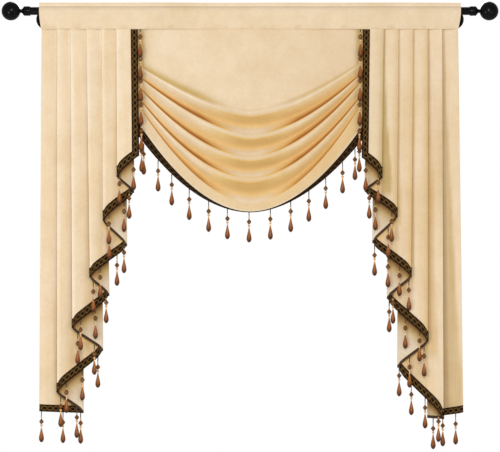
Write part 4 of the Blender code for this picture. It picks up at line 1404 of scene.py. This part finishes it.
cascade_weave = woven_braid("brown_braid", LATTICE_TAUPE, BRAID_BROWN)
swag_weave = woven_braid("dark_brown_braid", SWAG_TAUPE, SWAG_BROWN)


def braid_relief(along, across):
    """How far the woven pattern stands up: edge cords highest, then the lattice."""
    middle = np.abs(across - 0.5)
    swing = np.abs(np.sin(np.pi * along / BRAID_REPEAT)) * LATTICE_SWING
    lattice = np.exp(-(((middle - swing) / (1.1 * LATTICE_HALF)) ** 2))
    edge = np.clip((middle - (0.5 - EDGE_CORD)) / (0.4 * EDGE_CORD), 0, 1)
    rounded_edge = np.clip((0.5 - middle) / EDGE_ROUNDING, 0, 1) ** 0.5
    turns = 2 * np.pi * along / CORD_TWIST + across * CORD_SLANT
    twist = 1 - TWIST_DEPTH + TWIST_DEPTH * np.sin(turns)
    return RELIEF * np.maximum(LATTICE_HEIGHT * lattice, edge * rounded_edge * twist)


def edging(folds, width, start, height, step):
    """Fine outer and inner lines down the upright edge and along the hem, mitred at the corner."""
    share = edge_share(folds, width)
    corner = hem_drop(folds, 0.0)
    inner_corner = hem_drop(folds, share) - height(share)
    count = round((corner - start) / step)
    outer = [(0.0, start + (corner - start) * i / count) for i in range(count + 1)]
    inner = [(share, start + (inner_corner - start) * i / count) for i in range(count + 1)]
    per_layer = round(150 * MM / step)
    for place in cascade_places(folds, per_layer, 8)[1:]:
        outer.append((place, hem_drop(folds, place)))
        reached = max(place, share)
        inner.append((reached, hem_drop(folds, reached) - height(reached)))
    return outer, inner


def strip_grid(folds, side, outer, inner, across):
    """Points, normals and distances along and across a strip between two lines."""
    rows = []
    for i in range(across + 1):
        t = i / across
        rows.append([tuple(a + (b - a) * t for a, b in zip(o, n)) for o, n in zip(outer, inner)])
    points, normals = cascade_grid(folds, side, rows)
    steps = np.linalg.norm(np.diff(points[across // 2], axis=0), axis=1)
    along = np.concatenate([[0.0], np.cumsum(steps)])
    shares = np.linspace(0, 1, across + 1)
    return points, normals, np.broadcast_to(along, points.shape[:2]), np.broadcast_to(
        shares[:, None], points.shape[:2])


def braid_piece(name, grid, along, across, weave):
    under = CLOTH / 2 + BRAID_LIFT
    front = under + BRAID - RELIEF + braid_relief(along, across)
    obj = sheet_piece(name, grid, front, under, [weave], {"along": along, "across": across}, 60)
    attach(obj, "root")
    return obj


for name, side, folds in CASCADES:
    lines = edging(folds, BRAID_WIDTH, SEAM_DROP + GAP,
                   lambda place: braid_height(folds, place), BRAID_STEP)
    points, normals, along, across = strip_grid(folds, side, *lines, BRAID_ACROSS)
    braid_piece(
        f"woven_braid_{name}", (points, normals), along, across, cascade_weave)
    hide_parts(f"braid_{name}")

SWAG_BRAID_LENGTH = 0.84
hem_columns = round(SWAG_BRAID_LENGTH / BRAID_STEP)
hem_xs = [swag_reach * (2 * i / hem_columns - 1) for i in range(hem_columns + 1)]
last_two = [[swag_line(line, x) for line in SWAG_LINES[-2:]] for x in hem_xs]
upper = np.array([(x, -top[1], ROD_Z - top[0]) for x, (top, _) in zip(hem_xs, last_two)])
lower = np.array([(x, -end[1], ROD_Z - end[0]) for x, (_, end) in zip(hem_xs, last_two)])
across_shares = np.linspace(0, 1, BRAID_ACROSS + 1)
hem_grid = np.array([upper + (lower - upper) * share for share in across_shares])
hem_normals = facing(hem_grid)
hem_steps = np.linalg.norm(np.diff(hem_grid[-1], axis=0), axis=1)
hem_along = np.broadcast_to(np.concatenate([[0.0], np.cumsum(hem_steps)]), hem_grid.shape[:2])
hem_across = np.broadcast_to(across_shares[:, None], hem_grid.shape[:2])
swag_braid = braid_piece(
    "woven_braid_swag", (hem_grid, hem_normals), hem_along, hem_across, swag_weave)
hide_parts("braid_swag")


# Bead fringe
# A narrow brown tape sewn behind the braid, with strands every few centimetres: a thin cord,
# a cut brown bead between small gilt ones, and a long turned drop in copper lacquer.
STRAND_LENGTH = 97 * MM
UPRIGHT_STRANDS = (58.5, 118, 188, 263, 345, 410)
UPRIGHT_HIDDEN = (9, 0, 0, 0, 0, 0)
UPRIGHT_REACH = 8.2 * MM
UPRIGHT_LEAN = 0.125
HEM_LEAN = 0.02
BELOW_HEM = 1.5 * MM
SWING_DROP = 28 * MM
SWING_STEP = 1 * MM
MOST_SWING = 24 * MM
STRAND_CLEARANCE = 0.5 * MM
SWAG_STRANDS = (-334, -289, -246, -191, -130, -71, -3, 64, 128, 185, 238, 291, 330)
SWAG_REACH = 3 * MM
BEAD_SPACE = (
    (4, 1), (14, 1), (23, 2), (27, 5.5), (32, 7.6), (37, 5.5), (44, 4), (54, 3), (62, 5),
    (70, 6.6), (78, 7.8), (84, 8), (91, 6.5),
)
CORD_RINGS = (
    (-2, 0.9), (0, 1.7), (6, 1.65), (12, 1.55), (18, 1.3), (30, 0.6), (42, 0.6), (54, 0.6),
)
SEED_RINGS = ((18.2, 0.9), (18.9, 2.0), (20.6, 2.7), (22.3, 2.0), (23.0, 0.9))
GILT_RINGS = (
    (40.2, 0.8), (40.8, 2.4), (42.2, 3.6), (43.9, 4.0), (45.6, 3.6), (47, 2.4), (47.6, 1.3),
    (49.0, 1.4), (50.6, 2.0), (53.4, 2.6), (54.2, 2.3), (54.4, 0.8),
)
DIAMOND_RINGS = ((23.4, 1.2), (24.2, 2.2), (30.6, 7.2), (33.0, 7.2), (39.4, 2.2), (40.0, 1.2))
DROP_RINGS = (
    (53.8, 0.9), (54.2, 2.1), (57, 2.5), (61, 3.3), (66, 4.4), (71, 5.6), (76, 6.8), (80, 7.5),
    (84, 7.9), (87.5, 7.7), (91, 6.6), (93.8, 4.9), (95.8, 2.9), (96.8, 1.2),
)
RING_END = 0.2
CORD_COLOURS = ((0.0, (0.09, 0.075, 0.035)), (1.0, (0.27, 0.2, 0.1)))
# The gilt's own gold, painted brighter as a painted glint.
GILT_AND_GLINT_COLOURS = ((0.0, (0.86, 0.50, 0.24)), (1.0, (0.88, 0.58, 0.28)))
BROWN_COLOURS = ((0.0, (0.20, 0.078, 0.015)), (1.0, (0.24, 0.09, 0.02)))
# The copper grows darker towards the drop's tip.
COPPER_COLOURS = (
    (0.55, (0.45, 0.165, 0.036)), (0.8, (0.31, 0.095, 0.018)), (0.95, (0.10, 0.027, 0.005)),
)


def lacquer(name, stops, metallic, roughness, coat):
    """Colours down the strand by the "below" attribute, over a faint grain."""
    material, nodes, links = new_material(name)
    shader = nodes["Principled BSDF"]
    shader.inputs["Metallic"].default_value = metallic
    shader.inputs["Coat Weight"].default_value = coat
    shader.inputs["Coat Roughness"].default_value = 0.12
    shader.inputs["Specular IOR Level"].default_value = 0.2
    base = ramp(nodes, links, field(nodes, "below"), stops)
    grain = object_noise(nodes, links, scale=240, detail=3)
    grain = ramp(nodes, links, grain, [(0.3, 0.72), (0.7, 1.0)])
    links.new(blend_colours(nodes, links, 1.0, base, grain, "MULTIPLY"), shader.inputs["Base Color"])
    rough = object_noise(nodes, links, scale=130, detail=2)
    links.new(ramp(nodes, links, rough, [(0.3, roughness), (0.7, roughness + 0.12)]),
              shader.inputs["Roughness"])
    return material


cord_finish = lacquer("fringe_cord", CORD_COLOURS, metallic=0, roughness=0.6, coat=0)
gilt = lacquer("gilt_beads", GILT_AND_GLINT_COLOURS, metallic=0.1, roughness=0.2, coat=0.3)
cut_brown = lacquer("cut_brown_beads", BROWN_COLOURS, metallic=0, roughness=0.2, coat=0.2)
copper = lacquer("copper_lacquer", COPPER_COLOURS, metallic=0.05, roughness=0.27, coat=0.1)


def strand_part(name, rings, sides, smooth):
    """A turned part of a strand about Z, its root at the origin, with its depth below kept."""
    profile = from_mm([(rings[0][0], 0), *rings, (rings[-1][0] + RING_END, 0)])
    verts, faces = turned(profile, sides)
    obj = piece(name, [(y, z, -x) for x, y, z in verts], faces, [], smooth)
    add_field(obj.data, "below", [-vertex.co.z / STRAND_LENGTH for vertex in obj.data.vertices])
    obj.hide_render = True
    return obj


strand_parts = (
    (strand_part("cord_part", CORD_RINGS, sides=6, smooth=60), cord_finish),
    (strand_part("seed_part", SEED_RINGS, sides=10, smooth=60), gilt),
    (strand_part("gilt_part", GILT_RINGS, sides=12, smooth=60), gilt),
    (strand_part("diamond_part", DIAMOND_RINGS, sides=8, smooth=10), cut_brown),
    (strand_part("drop_part", DROP_RINGS, sides=16, smooth=60), copper),
)


def fringe_tree():
    """Each strand part hung at every root, leant and swung, and given its finish."""
    inputs = [("Hem", "Float"), ("Swing drop", "Float"), ("Length", "Float")]
    for part, _ in strand_parts:
        inputs += [(part.name, "Object"), (f"{part.name} finish", "Material")]
    tree, nodes, links, given, made = new_tree("bead_fringe", inputs)

    def calc(operation, *values):
        return maths(nodes, links, operation, *values)

    def named(name):
        node = nodes.new("GeometryNodeInputNamedAttribute")
        node.data_type = "FLOAT"
        node.inputs["Name"].default_value = name
        return node.outputs["Attribute"]

    to_points = nodes.new("GeometryNodeMeshToPoints")
    links.new(given.outputs["Geometry"], to_points.inputs[0])
    turn = nodes.new("ShaderNodeCombineXYZ")
    links.new(named("turn"), turn.inputs["Z"])
    join = nodes.new("GeometryNodeJoinGeometry")
    for part, _ in strand_parts:
        info = nodes.new("GeometryNodeObjectInfo")
        place = nodes.new("GeometryNodeInstanceOnPoints")
        links.new(given.outputs[part.name], info.inputs["Object"])
        links.new(to_points.outputs[0], place.inputs["Points"])
        links.new(info.outputs["Geometry"], place.inputs["Instance"])
        links.new(turn.outputs[0], place.inputs["Rotation"])
        finish = given.outputs[f"{part.name} finish"]
        links.new(made_real(nodes, links, place.outputs[0], finish), join.inputs[0])
    drop = calc("MULTIPLY", named("below"), given.outputs["Length"])
    leant = calc("MULTIPLY", drop, named("lean"))
    past_hem = calc("SUBTRACT", drop, given.outputs["Hem"])
    part_swung = calc("DIVIDE", past_hem, given.outputs["Swing drop"])
    part_swung = calc("MINIMUM", calc("MAXIMUM", part_swung, 0.0), 1.0)
    swung = calc("MULTIPLY", part_swung, named("swing"))
    offset = nodes.new("ShaderNodeCombineXYZ")
    links.new(calc("MULTIPLY", calc("ADD", leant, swung), -1.0), offset.inputs["Y"])
    move = nodes.new("GeometryNodeSetPosition")
    links.new(join.outputs[0], move.inputs["Geometry"])
    links.new(offset.outputs[0], move.inputs["Offset"])
    links.new(move.outputs[0], made.inputs[0])
    return tree


fringe_nodes = fringe_tree()


def hang_strands(name, roots):
    """Bead strands at their roots, given as (point, lean, swing)."""
    mesh = bpy.data.meshes.new(name)
    mesh.from_pydata([tuple(map(float, point)) for point, _, _ in roots], [], [])
    add_field(mesh, "lean", [lean for _, lean, _ in roots])
    add_field(mesh, "swing", [swing for _, _, swing in roots])
    add_field(mesh, "turn", [0.7 * math.sin(12.9 * i + 0.4) for i in range(len(roots))])
    obj = in_scene(name, mesh)
    modifier = obj.modifiers.new("fringe", "NODES")
    modifier.node_group = fringe_nodes
    values = {"Hem": BELOW_HEM, "Swing drop": SWING_DROP, "Length": STRAND_LENGTH}
    for part, finish in strand_parts:
        values[part.name] = part
        values[f"{part.name} finish"] = finish
    set_inputs(modifier, fringe_nodes, values)
    plain_mesh(obj)
    obj.data.set_sharp_from_angle(angle=math.radians(28))
    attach(obj, "root")
    return obj


def hung(top, drop, lean, swing):
    forward = lean * drop + swing * min(max(drop - BELOW_HEM, 0) / SWING_DROP, 1)
    return top + np.array((0.0, -forward, -drop))


def bead_space(top, lean, swing, hidden=0):
    """Centres and radii of the balls of space that a strand's beads take."""
    centres = [hung(np.array(top), (drop - hidden) * MM, lean, swing) for drop, _ in BEAD_SPACE]
    return np.array(centres), np.array([radius * MM for _, radius in BEAD_SPACE])


def clear_of_strands(space, taken):
    centres, radii = space
    for others, other_radii in taken:
        apart = np.linalg.norm(centres[:, None] - others[None], axis=2)
        if (apart < radii[:, None] + other_radii[None] + STRAND_CLEARANCE).any():
            return False
    return True


def clear_of_cloth(space, folds, side, layer):
    """True where a strand's beads lie in front of the layers that hang behind its own."""
    for centre, radius in zip(*space):
        drop = ROD_Z - centre[2]
        for behind in range(layer + 1, min(layer + 4, len(folds) - 1)):
            face = CLOTH / 2 if behind % 2 else CLOTH / 2 + BRAID_LIFT + BRAID
            start = cascade_point(folds, behind, drop)[0]
            end = cascade_point(folds, behind + STRAIGHT, drop)[0]
            for across in (side * centre[0] - radius / 2, side * centre[0] + radius / 2):
                share = (across - start[0]) / (end[0] - start[0])
                hem = hem_drop(folds, behind + STRAIGHT * min(max(share, 0), 1))
                if not 0 <= share <= 1 or drop - radius > hem:
                    continue
                surface = start[1] + (end[1] - start[1]) * share - face
                if centre[1] + radius + STRAND_CLEARANCE > surface:
                    return False
    return True


def hem_roots(folds, side, taken):
    """Roots on the hem, each strand swung towards the room until its beads hang clear."""
    roots = []
    for layer in range(len(folds) - 2, -1, -1):
        for along in folds[layer + 1].strands[::-1]:
            place = layer + STRAIGHT * along
            drop = hem_drop(folds, place)
            across, y = cascade_point(folds, place, drop)[0]
            edge = np.array((side * across, settled(side * across, y, ROD_Z - drop), ROD_Z - drop))
            swing = 0.0
            while swing < MOST_SWING:
                space = bead_space(edge, HEM_LEAN, swing)
                if clear_of_strands(space, taken) and clear_of_cloth(space, folds, side, layer):
                    break
                swing += SWING_STEP
            taken.append(bead_space(edge, HEM_LEAN, swing))
            roots.append((edge, HEM_LEAN, swing))
    return roots


tape_finish, nodes, links = new_material("brown_tape")
tape_shader = nodes["Principled BSDF"]
tape_shader.inputs["Roughness"].default_value = 0.85
ribs = maths(nodes, links, "MULTIPLY", field(nodes, "along"), 2 * math.pi / MM)
rib = maths(nodes, links, "SINE", ribs)
links.new(ramp(nodes, links, rib, [(0.0, (0.045, 0.018, 0.007)), (1.0, (0.085, 0.036, 0.015))]),
          tape_shader.inputs["Base Color"])
raise_surface(nodes, links, rib, distance=0.2 * MM, strength=0.5)

TAPE_ACROSS = 2
tape_pieces, strand_pieces = {}, {}
for name, side, folds in CASCADES:
    lines = edging(folds, TAPE_WIDTH, -TUCK_TOP, lambda place: TAPE_WIDTH, 3 * BRAID_STEP)
    points, normals, along, across = strip_grid(folds, side, *lines, TAPE_ACROSS)
    tape = sheet_piece(f"fringe_tape_{name}", (points, normals), CLOTH / 2, -CLOTH / 2,
                       [tape_finish], {"along": along})
    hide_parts(f"fringe_{name}")
    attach(tape, "root")
    roots, taken = [], []
    for drop, hidden in zip(UPRIGHT_STRANDS, UPRIGHT_HIDDEN):
        across_edge, y = cascade_point(folds, 0.0, drop * MM)[0]
        top = np.array((side * (across_edge - UPRIGHT_REACH), y, ROD_Z - (drop - hidden) * MM))
        roots.append((top, UPRIGHT_LEAN, 0.0))
        taken.append(bead_space(top, UPRIGHT_LEAN, 0.0))
    roots += hem_roots(folds, side, taken)
    strand_pieces[name] = hang_strands(f"bead_strands_{name}", roots)
    tape_pieces[name] = tape

swag_tape_share = 1 - TAPE_WIDTH / BRAID_WIDTH
tape_grid = np.array([upper + (lower - upper) * share for share in (swag_tape_share, 1.0)])
tape_normals = np.repeat(hem_normals[-1:], 2, 0)
tape_pieces["swag"] = sheet_piece("fringe_tape_swag", (tape_grid, tape_normals), CLOTH / 2, -CLOTH / 2,
                                  [tape_finish], {"along": hem_along[:2]})
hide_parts("fringe_swag")
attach(tape_pieces["swag"], "root")
swag_roots = []
for offset in SWAG_STRANDS:
    x = offset * MM
    (top_drop, top_depth), (drop, depth) = (swag_line(line, x) for line in SWAG_LINES[-2:])
    edge = np.array((x, -depth, ROD_Z - drop))
    out = edge - np.array((x, -top_depth, ROD_Z - top_drop))
    swag_roots.append((edge + out / np.linalg.norm(out) * SWAG_REACH, 0.0, 0.0))
strand_pieces["swag"] = hang_strands("bead_strands_swag", swag_roots)
for part, _ in strand_parts:
    bpy.data.objects.remove(part)
